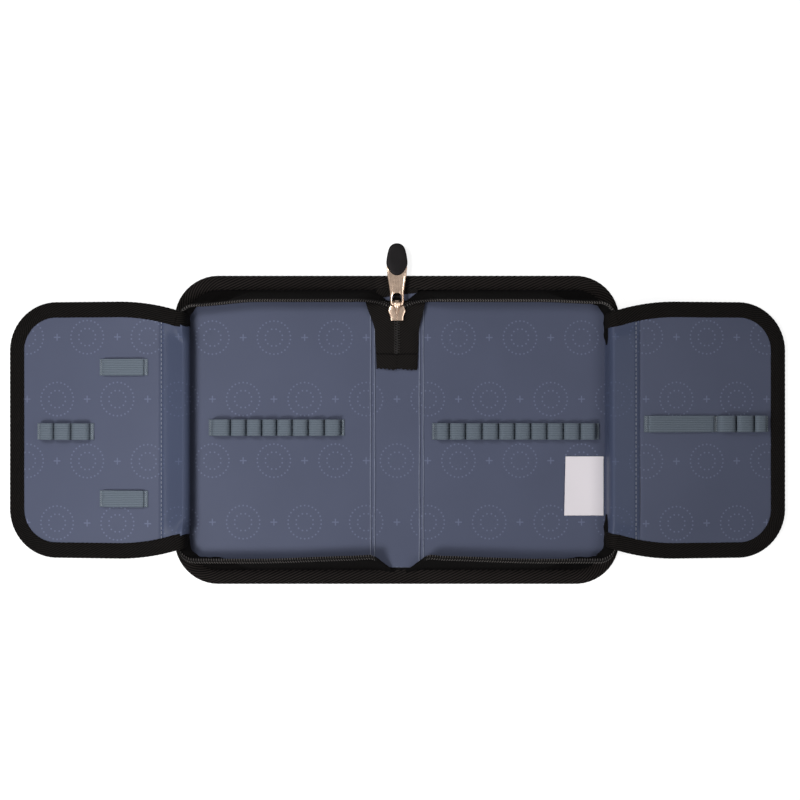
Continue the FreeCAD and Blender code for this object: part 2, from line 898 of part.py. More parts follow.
def slider_body():
    """Shield-shaped slider: two plates with flanges, a channel for the teeth and the divider post."""
    body = new_body("slider_body")
    sketch = new_sketch(body, "XY_Plane", d.slider_bottom)
    tail = d.slider_tail_width / 2
    mouth = d.slider_mouth_width / 2
    corners = [
        (-tail, d.slider_tail),
        (tail, d.slider_tail),
        (mouth, slider_end),
        (-mouth, slider_end),
    ]
    draw(sketch, corners, {1: (d.slider_bow, 1), 3: (d.slider_bow, 1)})
    add_pad(body, sketch, d.slider_top - d.slider_bottom)
    top = d.slider_top.value
    bottom = d.slider_bottom.value
    add_fillet(body, 0.5, lambda edge: at_height(edge, top) or at_height(edge, bottom))
    channel_low = d.slider_bottom + d.slider_plate
    channel = new_sketch(body, "XZ_Plane")
    half = d.slider_channel / 2
    rectangle(channel, -half, half, channel_low, d.slider_channel_top)
    add_pocket(body, channel, slider_end * 3, symmetric=True)
    slots = new_sketch(body, "XZ_Plane")
    rectangle(slots, -d.slider_bow, d.slider_bow, channel_low, tail_top + 0.3)
    add_pocket(body, slots, slider_end * 3, symmetric=True)
    post = new_sketch(body, "XY_Plane", channel_low - 0.1)
    post_half = d.post_width / 2
    draw(
        post,
        [
            (0, slider_end - 4.2),
            (post_half, slider_end - 2.6),
            (post_half, slider_end - 0.6),
            (-post_half, slider_end - 0.6),
            (-post_half, slider_end - 2.6),
        ],
    )
    add_pad(body, post, d.slider_channel_top - channel_low + 0.2)
    return body


def slider_crown():
    """Bridge over the slider that the pull's eye bar passes under."""
    body = new_body("slider_crown")
    outer = new_sketch(body, "YZ_Plane")
    low = d.slider_top
    bend = 2.4
    arch_corners(outer, d.crown_start, d.crown_end, low, d.crown_top, bend)
    add_pad(body, outer, d.crown_width, symmetric=True)
    inner = new_sketch(body, "YZ_Plane")
    bar = d.crown_bar
    arch_corners(inner, d.crown_start + bar, d.crown_end - bar, low - 1, d.crown_top - bar, 1.2)
    add_pocket(body, inner, d.crown_width + 2, symmetric=True)
    return body


def arch_corners(sketch, start, end, low, high, bend):
    """An upright with both upper corners rounded, drawn in the plane along the slider."""
    corners = [
        (start, low),
        (end, low),
        (end, high - bend),
        (end - bend, high),
        (start + bend, high),
        (start, high - bend),
    ]
    draw(sketch, corners, {2: (bend, 1), 4: (bend, 1)})


def pull_place():
    """Placement of the pull's own frame: the eye bar on X, the tab along Y."""
    turn = FreeCAD.Rotation(Vector(1, 0, 0), -d.pull_slope.value)
    return FreeCAD.Placement(Vector(0, d.pivot_y.value, d.pivot_z.value), turn)


def pull_tab():
    """Metal tab: an eye round the crown, a flared shoulder, and a tongue inside the grip."""
    body = new_body("pull_tab")
    bar = d.tab_thickness / 2
    neck = d.tab_neck / 2
    shoulder = d.tab_shoulder / 2
    tongue = d.tongue_width / 2
    flare_start = d.eye_length + 2.5
    sketch = new_sketch(body, "XY_Plane")
    bend = d.tab_neck / 4
    corners = [
        (bend - neck, -bar),
        (neck - bend, -bar),
        (neck, bend - bar),
        (neck, flare_start),
        (shoulder, d.tab_length),
        (tongue, d.tab_length),
        (tongue, d.tab_length + d.tongue_length),
        (-tongue, d.tab_length + d.tongue_length),
        (-tongue, d.tab_length),
        (-shoulder, d.tab_length),
        (-neck, flare_start),
        (-neck, bend - bar),
    ]
    flare = d.tab_length
    draw(sketch, corners, {1: (bend, 1), 3: (flare, -1), 9: (flare, -1), 11: (bend, 1)})
    add_pad(body, sketch, d.tab_thickness, symmetric=True)
    eye = new_sketch(body, "XY_Plane", d.tab_thickness)
    eye_half = d.eye_width / 2
    eye_bend = d.eye_width / 3
    eye_end = bar + d.eye_length
    draw(
        eye,
        [
            (-eye_half, bar),
            (eye_half, bar),
            (eye_half, eye_end - eye_bend),
            (eye_half - eye_bend, eye_end),
            (eye_bend - eye_half, eye_end),
            (-eye_half, eye_end - eye_bend),
        ],
        {2: (eye_bend, 1), 4: (eye_bend, 1)},
    )
    add_pocket(body, eye, d.tab_thickness * 2)
    body.Placement = pull_place()
    return body


def pull_grip():
    """Oval rubber grip moulded over the tab's tongue."""
    body = new_body("pull_grip")
    half = d.grip_width / 2
    start = d.tab_length
    end = d.tab_length + d.grip_length
    heel = d.tab_shoulder / 2
    round_end = half
    sketch = new_sketch(body, "XY_Plane")
    corners = [
        (-heel, start),
        (heel, start),
        (half, start + 4),
        (half, end - round_end),
        (0, end),
        (-half, end - round_end),
        (-half, start + 4),
    ]
    draw(sketch, corners, {1: (16, 1), 3: (round_end, 1), 4: (round_end, 1), 6: (16, 1)})
    add_pad(body, sketch, d.grip_thickness, symmetric=True)
    top = d.grip_thickness.value / 2
    heel_line = start.value + 0.01
    add_fillet(
        body,
        0.9,
        lambda edge: (at_height(edge, top) or at_height(edge, -top)) and edge.BoundBox.YMax > heel_line,
    )
    tongue = new_sketch(body, "XY_Plane", d.tab_thickness / 2)
    tongue_half = d.tongue_width / 2
    rectangle(tongue, -tongue_half, tongue_half, start - 1, start + d.tongue_length)
    add_pocket(body, tongue, d.tab_thickness)
    body.Placement = pull_place()
    return body


def make_half(side):
    """All pieces of one half."""
    return [
        outer_cover(side),
        floor_board(side),
        floor_lining(side),
        edge_binding(side),
        zip_tape(side),
        zip_chain(side),
        pen_loops(side),
        hinge_tape(side),
    ]


def make_case():
    pieces = [
        spine_outer_cover(),
        spine_board(),
        spine_lining(),
        spine_binding("spine_top_binding", 1),
        spine_binding("spine_bottom_binding", -1),
        zip_tail_tape(),
        zip_tail_chain(),
        zip_tail_hem(),
    ]
    for side in (LEFT, RIGHT):
        pieces += [zip_lead(side), zip_foot(side)]
    pieces += [slider_body(), slider_crown(), pull_tab(), pull_grip()]
    for side in (LEFT, RIGHT):
        pieces += make_half(side)
        pieces += make_flap(side)
    pieces.append(care_label())
    pitch = d.flap_loop_pitch
    wide = d.flap_loop_pitch * 2.75
    flat = (d.flat_loop_rise, d.flat_loop_corner)
    pieces += [
        flap_loop("left_flap_triple_loop", LEFT, 3, pitch, 63.0, -1.0, d.loop_rise, d.loop_corner),
        flap_loop("left_flap_upper_loop", LEFT, 1, wide, 24.6, 41.5, *flat),
        flap_loop("left_flap_lower_loop", LEFT, 1, wide, 24.6, -45.2, *flat),
        flap_loop("right_flap_long_loop", RIGHT, 1, d.flap_loop_pitch * 3.95, 25.4, 4.1, *flat),
        flap_loop("right_flap_triple_loop", RIGHT, 3, pitch, 71.9, 4.1, d.loop_rise, d.loop_corner),
    ]
    return pieces


def write_parts(pieces):
    """Check every object and every shape, then write one file for each piece."""
    failed = [item.Name for item in doc.Objects if {"Invalid", "Error"} & set(item.State)]
    if failed:
        raise RuntimeError(f"failed objects: {failed}")
    for piece in pieces:
        if piece.Shape.isNull() or not piece.Shape.isValid():
            raise RuntimeError(f"{piece.Label} has no valid shape")
    os.makedirs("parts", exist_ok=True)
    for piece in pieces:
        piece.Shape.exportStep(f"parts/{piece.Label}.step")
        print(f"{piece.Label}: {len(piece.Shape.Solids)} solid(s), {piece.Shape.Volume:.0f} cubic mm")


parts = make_case()
doc.recompute()
write_parts(parts)
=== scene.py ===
"""The looks of a zip-around drafting instrument case that lies open and flat.

Lengths are millimetres in the sub-assemblies and on a cloth's own UV, and become metres where a
mesh is made. Finishes on object coordinates and the studio are in metres. Each half is worked out
on the right, where x is positive, and the sign of its side turns it over to the left.
"""

import json
import logging
import math
from dataclasses import dataclass
from enum import Enum
from typing import Callable

import bmesh
import bpy
import numpy as np
from numpy.typing import NDArray
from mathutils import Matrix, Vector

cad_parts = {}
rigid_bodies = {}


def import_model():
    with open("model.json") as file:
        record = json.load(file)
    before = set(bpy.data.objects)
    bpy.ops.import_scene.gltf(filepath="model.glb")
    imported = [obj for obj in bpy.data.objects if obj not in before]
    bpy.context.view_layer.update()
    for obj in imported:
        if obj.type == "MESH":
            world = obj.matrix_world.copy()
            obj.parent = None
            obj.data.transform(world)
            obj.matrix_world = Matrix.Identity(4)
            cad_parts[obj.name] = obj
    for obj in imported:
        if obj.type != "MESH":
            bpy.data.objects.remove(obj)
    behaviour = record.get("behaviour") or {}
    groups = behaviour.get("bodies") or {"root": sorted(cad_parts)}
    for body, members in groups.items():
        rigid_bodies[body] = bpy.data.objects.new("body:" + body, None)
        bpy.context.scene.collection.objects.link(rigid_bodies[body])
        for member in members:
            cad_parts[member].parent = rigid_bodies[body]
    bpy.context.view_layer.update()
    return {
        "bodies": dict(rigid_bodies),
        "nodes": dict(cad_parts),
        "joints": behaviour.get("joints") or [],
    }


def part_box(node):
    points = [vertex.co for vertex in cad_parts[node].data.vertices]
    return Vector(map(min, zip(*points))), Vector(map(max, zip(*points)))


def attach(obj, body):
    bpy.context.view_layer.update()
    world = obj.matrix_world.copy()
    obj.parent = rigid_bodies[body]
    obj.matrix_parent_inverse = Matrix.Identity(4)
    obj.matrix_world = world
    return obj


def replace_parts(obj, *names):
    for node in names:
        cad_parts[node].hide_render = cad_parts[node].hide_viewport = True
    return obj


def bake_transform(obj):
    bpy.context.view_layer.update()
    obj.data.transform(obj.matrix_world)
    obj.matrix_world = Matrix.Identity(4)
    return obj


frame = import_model()

Array = NDArray[np.float64]
Triple = tuple[float, float, float]
Table = tuple[tuple[float, ...], tuple[float, ...]]
Socket = bpy.types.NodeSocket
MM = 0.001
X_AXIS, Y_AXIS, Z_AXIS = np.eye(3)
LOG = logging.getLogger("case")


class Side(Enum):
    """The two halves of the open case."""

    LEFT = -1
    RIGHT = 1

    @property
    def word(self) -> str:
        """The side's name as the nodes and bodies spell it."""
        return self.name.lower()

    def turn(self, shape: Array) -> Array:
        """Points worked out on the right, put on this side by the sign of x."""
        return shape * np.array([self.value, 1.0, 1.0])


# Surfaces


@dataclass
class Patch:
    """Points, four-sided faces, and the place of each face corner on the cloth."""

    points: Array
    faces: NDArray[np.int64]
    uv: Array


def join(patches: list[Patch]) -> Patch:
    """One patch from several: each one's face numbers move past the points before it.

    Args:
        patches: the patches in order.

    Returns:
        The joined patch.
    """
    starts = np.cumsum([0] + [len(patch.points) for patch in patches[:-1]])
    return Patch(
        np.concatenate([patch.points for patch in patches]),
        np.concatenate([patch.faces + start for patch, start in zip(patches, starts)]),
        np.concatenate([patch.uv for patch in patches]),
    )


def unit(vectors: Array) -> Array:
    """Vectors of length one along the last axis."""
    return vectors / np.maximum(np.linalg.norm(vectors, axis=-1, keepdims=True), 1e-9)


def smooth(values: Array) -> Array:
    """The cubic 3t^2 - 2t^3 of values clipped to 0 and 1."""
    clipped = np.clip(values, 0.0, 1.0)
    return clipped * clipped * (3.0 - 2.0 * clipped)


def travel(path: Array) -> Array:
    """Distance along a path from its first point."""
    steps = np.linalg.norm(np.diff(path, axis=0), axis=-1)
    return np.concatenate([[0.0], np.cumsum(steps)])


def ramp(values: Array, start: float, reach: float) -> Array:
    """Zero up to start and one from start + reach on, by the same cubic between."""
    return smooth((values - start) / reach)


def hill(values: Array, middle: float, width: float) -> Array:
    """The bell exp(-((value - middle) / width)^2)."""
    return np.exp(-(((values - middle) / width) ** 2))


def steady(direction: Array, count: int) -> Array:
    """One direction, repeated for each point of a path."""
    return np.broadcast_to(direction, (count, 3))


def points(x: Array | float, y: Array | float, z: Array | float) -> Array:
    """Points from three coordinates, where a plain number or a single row holds for all."""
    return np.stack(np.broadcast_arrays(x, y, z), -1)


def soften(values: Array, reach: int) -> Array:
    """A running mean over some neighbours on either side."""
    window = np.ones(2 * reach + 1) / (2 * reach + 1)
    return np.convolve(np.pad(values, reach, mode="edge"), window, mode="valid")


def bunched(first: float, last: float, steps: int, skip: float = 0.0) -> Array:
    """Places from first to last by (1 - cos(angle)) / 2, closest together at both ends.

    Args:
        first: where the angle is 0.
        last: where the angle is pi.
        steps: number of places.
        skip: angle left out at both ends.

    Returns:
        The places.
    """
    angle = np.linspace(skip, np.pi - skip, steps)
    return first + (last - first) * (1 - np.cos(angle)) / 2


def read_off(rows: Array, known: Array, at: Array) -> Array:
    """Rows that are known at some distances, read off at others by straight interpolation.

    Args:
        rows: one row per known distance.
        known: the distances, rising.
        at: where the new rows lie.

    Returns:
        One row per new distance.
    """
    return np.stack([np.interp(at, known, column) for column in rows.T], -1)


def resample(path: Array, distances: Array) -> Array:
    """Points of a path at the given distances along it."""
    return read_off(path, travel(path), distances)


def bezier(controls: list[Triple], steps: int) -> Array:
    """A cubic through its end controls: (1-t)^3 A + 3(1-t)^2 t B + 3(1-t) t^2 C + t^3 D.

    Args:
        controls: the four control points.
        steps: number of points.

    Returns:
        The points, one per row.
    """
    t = np.linspace(0.0, 1.0, steps)[:, None]
    a, b, c, d = np.array(controls, float)
    return (1 - t) ** 3 * a + 3 * (1 - t) ** 2 * t * b + 3 * (1 - t) * t**2 * c + t**3 * d


def grid(surface: Array, uv: Array, caps: bool) -> Patch:
    """Faces of a grid whose last column joins its first: cell (i, j) has i, i+1 by j, j+1.

    Args:
        surface: rings along by points around.
        uv: places on the cloth, with one more column, where the grid joins.
        caps: the first and last rings are closed by rungs between their two halves.

    Returns:
        The patch.
    """
    rows, cols = surface.shape[:2]
    i, j = np.meshgrid(np.arange(rows - 1), np.arange(cols), indexing="ij")
    corner_i = np.stack([i, i + 1, i + 1, i], -1).reshape(-1, 4)
    corner_j = np.stack([j, j, j + 1, j + 1], -1).reshape(-1, 4)
    faces = [corner_i * cols + corner_j % cols]
    places = [uv[corner_i, corner_j]]
    if caps:
        rung = np.arange(cols // 2 - 1)
        ring = np.stack([rung, rung + 1, cols - 2 - rung, cols - 1 - rung], -1)
        faces += [ring, ring[:, ::-1] + (rows - 1) * cols]
        places += [uv[0, ring], uv[-1, ring[:, ::-1]]]
    return Patch(surface.reshape(-1, 3), np.concatenate(faces), np.concatenate(places))


def cloth_uv(surface: Array) -> Array:
    """Millimetres along and across a grid, measured on its middle lines."""
    along = travel(surface[:, surface.shape[1] // 2])
    across = travel(surface[surface.shape[0] // 2])
    return np.stack(np.meshgrid(along, across, indexing="ij"), -1)


def normals(surface: Array) -> Array:
    """Unit normals of a grid: the cross product of its two directions."""
    return unit(np.cross(np.gradient(surface, axis=0), np.gradient(surface, axis=1)))


def sheet(surface: Array, thickness: float, uv: Array | None = None) -> Patch:
    """Closed cloth about a surface: half its thickness to either side along the normal.

    Args:
        surface: grid of points on the middle of the cloth.
        thickness: the cloth's thickness.
        uv: places on the cloth, or None for distances along and across.

    Returns:
        The patch.
    """
    uv = cloth_uv(surface) if uv is None else uv
    half = normals(surface) * thickness / 2
    ring = np.concatenate([surface + half, (surface - half)[:, ::-1]], axis=1)
    ring_uv = np.concatenate([uv, uv[:, ::-1], uv[:, :1]], axis=1)
    return grid(ring, ring_uv, caps=True)


def tube(surface: Array, along: Array, caps: bool = True) -> Patch:
    """Rings of points joined into a tube: u follows the tube, v goes from 0 to 1 around it.

    Args:
        surface: rings along by points around.
        along: place of each ring along the tube.
        caps: both ends are closed.

    Returns:
        The patch.
    """
    around = np.linspace(0.0, 1.0, surface.shape[1] + 1)
    uv = np.stack(np.meshgrid(along, around, indexing="ij"), -1)
    return grid(surface, uv, caps)


def rings(centres: Array, across: Array, up: Array, profile: Array) -> Patch:
    """A profile carried along a path: point = centre + across * profile x + up * profile y.

    Args:
        centres: path points, one per row.
        across: direction of the profile's x, one for all or one per point.
        up: direction of the profile's y, one for all or one per point.
        profile: closed ring of (x, y), the same all along or one per path point.

    Returns:
        The closed patch.
    """
    profile = np.broadcast_to(profile, (len(centres),) + profile.shape[-2:])
    across, up = [np.broadcast_to(way, centres.shape)[:, None] for way in (across, up)]
    surface = centres[:, None] + across * profile[..., :1] + up * profile[..., 1:]
    return tube(surface, travel(centres))


def superellipse(power: float, steps: int) -> Array:
    """A closed ring with |x|^n + |y|^n = 1: a rounded square for a large power n.

    Args:
        power: the power n.
        steps: number of points, even.

    Returns:
        (x, y) rows.
    """
    angle = 2 * np.pi * (np.arange(steps) + 0.5) / steps
    circle = np.stack([np.cos(angle), np.sin(angle)], -1)
    return np.sign(circle) * np.abs(circle) ** (2 / power)


def rounded_box(half_x: float, half_y: float, power: float, steps: int) -> Array:
    """A superellipse stretched to two half sizes."""
    return superellipse(power, steps) * np.array([half_x, half_y])


def thread(path: Array, radius: float, sides: int = 6) -> Patch:
    """A round thread along a path that never stands upright.

    Args:
        path: the thread's middle line.
        radius: the thread's radius.
        sides: corners of its section.

    Returns:
        The closed patch.
    """
    ahead = unit(np.gradient(path, axis=0))
    across = unit(np.cross(ahead, Z_AXIS))
    return rings(path, across, np.cross(across, ahead), superellipse(2.0, sides) * radius)


def copies(shape: Patch, places: Array, ahead: Array, up: Array) -> Patch:
    """A shape set at many places: its x along ahead and its z along up.

    Args:
        shape: the repeated shape, about the origin.
        places: one point per copy.
        ahead: unit directions, one per copy.
        up: unit directions square to ahead, one per copy.

    Returns:
        The joined patch.
    """
    turn = np.stack([ahead, np.cross(up, ahead), up], axis=1)
    corners = np.einsum("ka,nab->nkb", shape.points, turn) + places[:, None]
    shift = len(shape.points) * np.arange(len(places))[:, None, None]
    faces = (shape.faces[None] + shift).reshape(-1, 4)
    return Patch(corners.reshape(-1, 3), faces, np.tile(shape.uv, (len(places), 1, 1)))


@dataclass(frozen=True)
class Stitch:
    """A seam's stitches: from one to the next, the length of one, and its thread's radius."""

    pitch: float
    length: float
    radius: float
    feel: float = 0.1

    def shape(self) -> Patch:
        """One stitch along x: rings of radius r * sqrt(1 - t^4), sunk a little at both ends."""
        t = np.array([-0.98, -0.6, 0.0, 0.6, 0.98])
        centres = points(t * self.length / 2, 0.0, -self.radius * t**2)
        ring = superellipse(2.0, 6) * self.radius
        return rings(centres, Y_AXIS, Z_AXIS, ring[None] * np.sqrt(1 - t**4)[:, None, None])

    def row(self, path: Array, up: Array) -> Patch:
        """Stitches one pitch apart along a path, lying on the side that up points to.

        Args:
            path: the seam's line.
            up: directions away from the cloth, one per path point.

        Returns:
            The joined patch.
        """
        known = travel(path)
        at = np.arange(self.pitch / 2, known[-1], self.pitch)
        ahead = unit(resample(path, at + self.feel) - resample(path, at - self.feel))
        raised = read_off(up, known, at)
        raised = unit(raised - ahead * np.sum(raised * ahead, -1, keepdims=True))
        return copies(self.shape(), resample(path, at), ahead, raised)


@dataclass(frozen=True)
class UPath:
    """Three sides of a rounded rectangle: top run out, side down, bottom run back."""

    start: float
    half_length: float
    half_width: float
    radius: float

    def trace(self, run: int, bend: int, side: int) -> tuple[Array, Array]:
        """Points and outward normals: straight runs by steps of x or y, corners by steps of angle.

        Args:
            run: steps on each long run.
            bend: steps on each corner.
            side: steps on the outer side.

        Returns:
            Points and normals, as rows of (x, y).
        """
        x_bend = self.half_width - self.radius
        y_bend = self.half_length - self.radius
        out = np.linspace(self.start, x_bend, run, endpoint=False)
        turn = np.linspace(np.pi / 2, 0.0, bend, endpoint=False)
        down = np.linspace(y_bend, -y_bend, side, endpoint=False)
        back = np.linspace(x_bend, self.start, run + 1)
        angle = np.concatenate([np.full(run, np.pi / 2), turn, np.zeros(side)])
        angle = np.concatenate([angle, turn - np.pi / 2, np.full(run + 1, -np.pi / 2)])
        normal = np.stack([np.cos(angle), np.sin(angle)], -1)
        x_centre = np.concatenate([out, np.full(2 * bend + side, x_bend), back])
        upper, lower = np.full(run + bend, y_bend), np.full(bend + run + 1, -y_bend)
        y_centre = np.concatenate([upper, down, lower])
        return np.stack([x_centre, y_centre], -1) + normal * self.radius, normal


def lift(flat: Array, height: float | Array = 0.0) -> Array:
    """Rows of (x, y) with a z."""
    return np.column_stack([flat, np.broadcast_to(height, len(flat))])


# Finishes


def linear(colour: Triple, factor: float = 1.0) -> tuple[float, float, float, float]:
    """A screen colour of 0 to 255 as light, times a factor.

    Args:
        colour: red, green and blue as a screen shows them.
        factor: how much lighter or darker.

    Returns:
        Red, green, blue and alpha as a shader takes them.
    """
    share = np.array(colour) / 255.0
    light = np.where(share <= 0.04045, share / 12.92, ((share + 0.055) / 1.055) ** 2.4) * factor
    return (*(float(value) for value in np.clip(light, 0.0, 1.0)), 1.0)


class Nodes:
    """Short calls that add and link one material's nodes."""

    def __init__(self, tree: bpy.types.NodeTree) -> None:
        """Start with an empty tree."""
        self.tree = tree
        tree.nodes.clear()

    def add(self, kind: str, inputs: dict | None = None, **settings: object) -> bpy.types.Node:
        """Add a node.

        Args:
            kind: its type, without the leading word that all share.
            inputs: values or other nodes' sockets by input name or number.
            settings: the node's own properties.

        Returns:
            The node.
        """
        node = self.tree.nodes.new("ShaderNode" + kind)
        for key, value in settings.items():
            setattr(node, key, value)
        self.feed(node, inputs or {})
        return node

    def feed(self, node: bpy.types.Node, inputs: dict) -> None:
        """Link a node's inputs to other nodes' sockets, or set their values."""
        for key, value in inputs.items():
            if isinstance(value, Socket):
                self.tree.links.new(value, node.inputs[key])
            else:
                node.inputs[key].default_value = value

    def math(self, operation: str, *values: object, clamp: bool = False) -> Socket:
        """A Math node's result for up to three values."""
        node = self.add("Math", dict(enumerate(values)), operation=operation, use_clamp=clamp)
        return node.outputs[0]

    def noise(self, place: Socket, scale: float, detail: float) -> Socket:
        """Noise of the given scale, about one half."""
        return self.add("TexNoise", {"Vector": place, "Scale": scale, "Detail": detail}).outputs[0]

    def wander(self, noise: Socket, middle: float, spread: float) -> Socket:
        """A value that follows the noise about a middle."""
        return self.math("MULTIPLY_ADD", noise, spread, middle - spread / 2)

    def wave(self, place: Socket, pitch: float) -> Socket:
        """The wave cos(2 pi place / pitch)."""
        return self.math("COSINE", self.math("MULTIPLY", place, 2 * math.pi / pitch))

    def mix(self, share: object, first: object, second: object) -> Socket:
        """A colour between two."""
        return self.add("Mix", {0: share, 6: first, 7: second}, data_type="RGBA").outputs[2]

    def inside(self, value: object, edge: float, softness: float) -> Socket:
        """One where value is below edge and zero above, over a soft band."""
        gap = self.math("SUBTRACT", edge, value)
        return self.math("MULTIPLY_ADD", gap, 1.0 / softness, 0.5, clamp=True)

    def bump(self, height: object, distance: float, strength: float = 1.0) -> Socket:
        """A normal from a height, with the relief's depth in metres."""
        node = self.add("Bump", {"Height": height, "Distance": distance, "Strength": strength})
        return node.outputs[0]

    def place(self, kind: str) -> Socket:
        """Object coordinates in metres, or the cloth's own UV in millimetres."""
        return self.add("TexCoord").outputs[kind]


@dataclass(frozen=True)
class Finish:
    """A surface finish: its record slot, its colour under plain light and its gloss."""

    title: str
    slot: str
    colour: Triple
    roughness: float

    def material(self) -> bpy.types.Material:
        """The finish's material, made once."""
        found = bpy.data.materials.get(self.title)
        if found:
            return found
        material = bpy.data.materials.new(self.title)
        material.use_nodes = True
        nodes = Nodes(material.node_tree)
        shader = nodes.add("BsdfPrincipled", {"Roughness": self.roughness})
        self.paint(nodes, shader)
        nodes.add("OutputMaterial", {"Surface": shader.outputs[0]})
        return material

    def tones(self, spread: float) -> list[tuple[float, float, float, float]]:
        """The colour a share darker and the same share lighter."""
        return [linear(self.colour, factor) for factor in (1.0 - spread, 1.0 + spread)]

    def paint(self, nodes: Nodes, shader: bpy.types.Node) -> None:
        """Link the pattern, gloss and relief to the shader."""
        raise NotImplementedError


@dataclass(frozen=True)
class CoatedCloth(Finish):
    """Smooth coated lining cloth with a faint print of dotted rings and small crosses."""

    cell: float = 0.041
    ring_dots: tuple[tuple[float, float], ...] = ((0.27, 26.0), (0.14, 12.0))
    dot: float = 0.0125
    dot_softness: float = 0.8
    bar_half: float = 0.055
    bar_thin: float = 0.009
    bar_softness: float = 0.01
    print_strength: float = 0.9
    print_factor: float = 1.75
    print_relief: float = 0.5
    drift_scale: float = 18.0
    drift_tone: float = 0.1
    grain_scale: float = 1700.0
    grain_gloss: float = 0.22
    relief: float = 0.00006
    gloss: float = 0.1

    def paint(self, nodes: Nodes, shader: bpy.types.Node) -> None:
        """Slow drift of tone, the print a shade lighter, and a fine grain under the coating."""
        place = nodes.place("Object")
        drift = nodes.noise(place, self.drift_scale, 3.0)
        grain = nodes.noise(place, self.grain_scale, 3.0)
        mark = self.motif(nodes, place)
        tone = nodes.mix(drift, *self.tones(self.drift_tone))
        faint = nodes.math("MULTIPLY", mark, self.print_strength)
        height = nodes.math("MULTIPLY_ADD", mark, self.print_relief, grain)
        nodes.feed(shader, {
            "Base Color": nodes.mix(faint, tone, linear(self.colour, self.print_factor)),
            "Roughness": nodes.wander(grain, self.roughness, self.grain_gloss),
            "Specular IOR Level": self.gloss,
            "Normal": nodes.bump(height, self.relief, 0.7),
        })

    def motif(self, nodes: Nodes, place: Socket) -> Socket:
        """One on the print and zero off it, in cells whose odd rows are shifted by half.

        Args:
            nodes: the material's nodes.
            place: coordinates in metres.

        Returns:
            The mask.
        """
        split = nodes.add("SeparateXYZ", {0: place})
        across = nodes.math("DIVIDE", split.outputs[0], self.cell)
        up = nodes.math("DIVIDE", split.outputs[1], self.cell)
        row = nodes.math("FLOOR", up)
        shifted = nodes.math("MULTIPLY_ADD", nodes.math("FLOORED_MODULO", row, 2.0), 0.5, across)
        x = nodes.math("SUBTRACT", nodes.math("FRACT", shifted), 0.5)
        y = nodes.math("SUBTRACT", nodes.math("FRACT", up), 0.5)
        large, small = [self.ring(nodes, x, y, *ring) for ring in self.ring_dots]
        mark = nodes.math("MAXIMUM", large, small)
        between = nodes.math("FRACT", nodes.math("ADD", shifted, 0.5))
        cross = self.cross(nodes, nodes.math("SUBTRACT", between, 0.5), y)
        return nodes.math("MAXIMUM", mark, cross)

    def ring(self, nodes: Nodes, x: Socket, y: Socket, radius: float, count: float) -> Socket:
        """Dots evenly round a circle: near the circle and near the middle of one of count sectors.

        Args:
            nodes: the material's nodes.
            x: place across the cell.
            y: place up the cell.
            radius: of the circle, in cells.
            count: number of dots.

        Returns:
            The mask.
        """
        point = nodes.add("CombineXYZ", {0: x, 1: y}).outputs[0]
        away = nodes.add("VectorMath", {0: point}, operation="LENGTH").outputs["Value"]
        sector = nodes.math("MULTIPLY", nodes.math("ARCTAN2", y, x), count / (2 * math.pi))
        local = nodes.math("SUBTRACT", nodes.math("FRACT", sector), 0.5)
        arc = nodes.math("MULTIPLY", local, 2 * math.pi * radius / count)
        gap = nodes.math("SUBTRACT", away, radius)
        offset = nodes.add("CombineXYZ", {0: arc, 1: gap}).outputs[0]
        distance = nodes.add("VectorMath", {0: offset}, operation="LENGTH").outputs["Value"]
        return nodes.inside(distance, self.dot, self.dot * self.dot_softness)

    def cross(self, nodes: Nodes, x: Socket, y: Socket) -> Socket:
        """Two short bars across each other at the middle of the cell."""
        wide = nodes.math("ABSOLUTE", x)
        high = nodes.math("ABSOLUTE", y)
        bars = []
        for long_way, short_way in ((wide, high), (high, wide)):
            length = nodes.inside(long_way, self.bar_half, self.bar_softness)
            width = nodes.inside(short_way, self.bar_thin, self.bar_softness)
            bars.append(nodes.math("MULTIPLY", length, width))
        return nodes.math("MAXIMUM", *bars)


@dataclass(frozen=True)
class RibbedCloth(Finish):
    """Cloth whose ridges run aslant, coloured lighter on the crests and darker in the valleys as
    painted highlight and shade: tapes and cover cloth differ in pitch and slope.
    """

    pitch: float = 3.5
    slope: float = 2.2
    contrast: float = 0.35
    relief: float = 0.00008
    gloss: float = 0.06
    yarn_scale: float = 2.4
    fuzz_scale: float = 900.0
    fuzz_gloss: float = 0.2
    ridge_tone: float = 0.75
    ridge_relief: float = 0.4

    def paint(self, nodes: Nodes, shader: bpy.types.Node) -> None:
        """Ridges cos(2 pi (u + slope v) / pitch) on the cloth's own UV, under yarn noise, with the
        colour painted lighter on the crests and darker in the valleys as painted highlight and
        shade.
        """
        place = nodes.place("UV")
        split = nodes.add("SeparateXYZ", {0: place})
        aslant = nodes.math("MULTIPLY_ADD", split.outputs[1], self.slope, split.outputs[0])
        wave = nodes.wave(aslant, self.pitch)
        yarn = nodes.noise(place, self.yarn_scale, 3.0)
        fuzz = nodes.noise(nodes.place("Object"), self.fuzz_scale, 4.0)
        loose = nodes.math("MULTIPLY_ADD", nodes.math("ADD", yarn, fuzz), 0.4, 0.1)
        # painted highlight and shade: the colour rises and falls with the ridges' wave, as the
        # relief does
        share = nodes.math("MULTIPLY_ADD", wave, self.ridge_tone, loose, clamp=True)
        height = nodes.math("MULTIPLY_ADD", wave, self.ridge_relief, yarn)
        nodes.feed(shader, {
            "Base Color": nodes.mix(share, *self.tones(self.contrast)),
            "Roughness": nodes.wander(fuzz, self.roughness, self.fuzz_gloss),
            "Specular IOR Level": self.gloss,
            "Normal": nodes.bump(height, self.relief),
        })


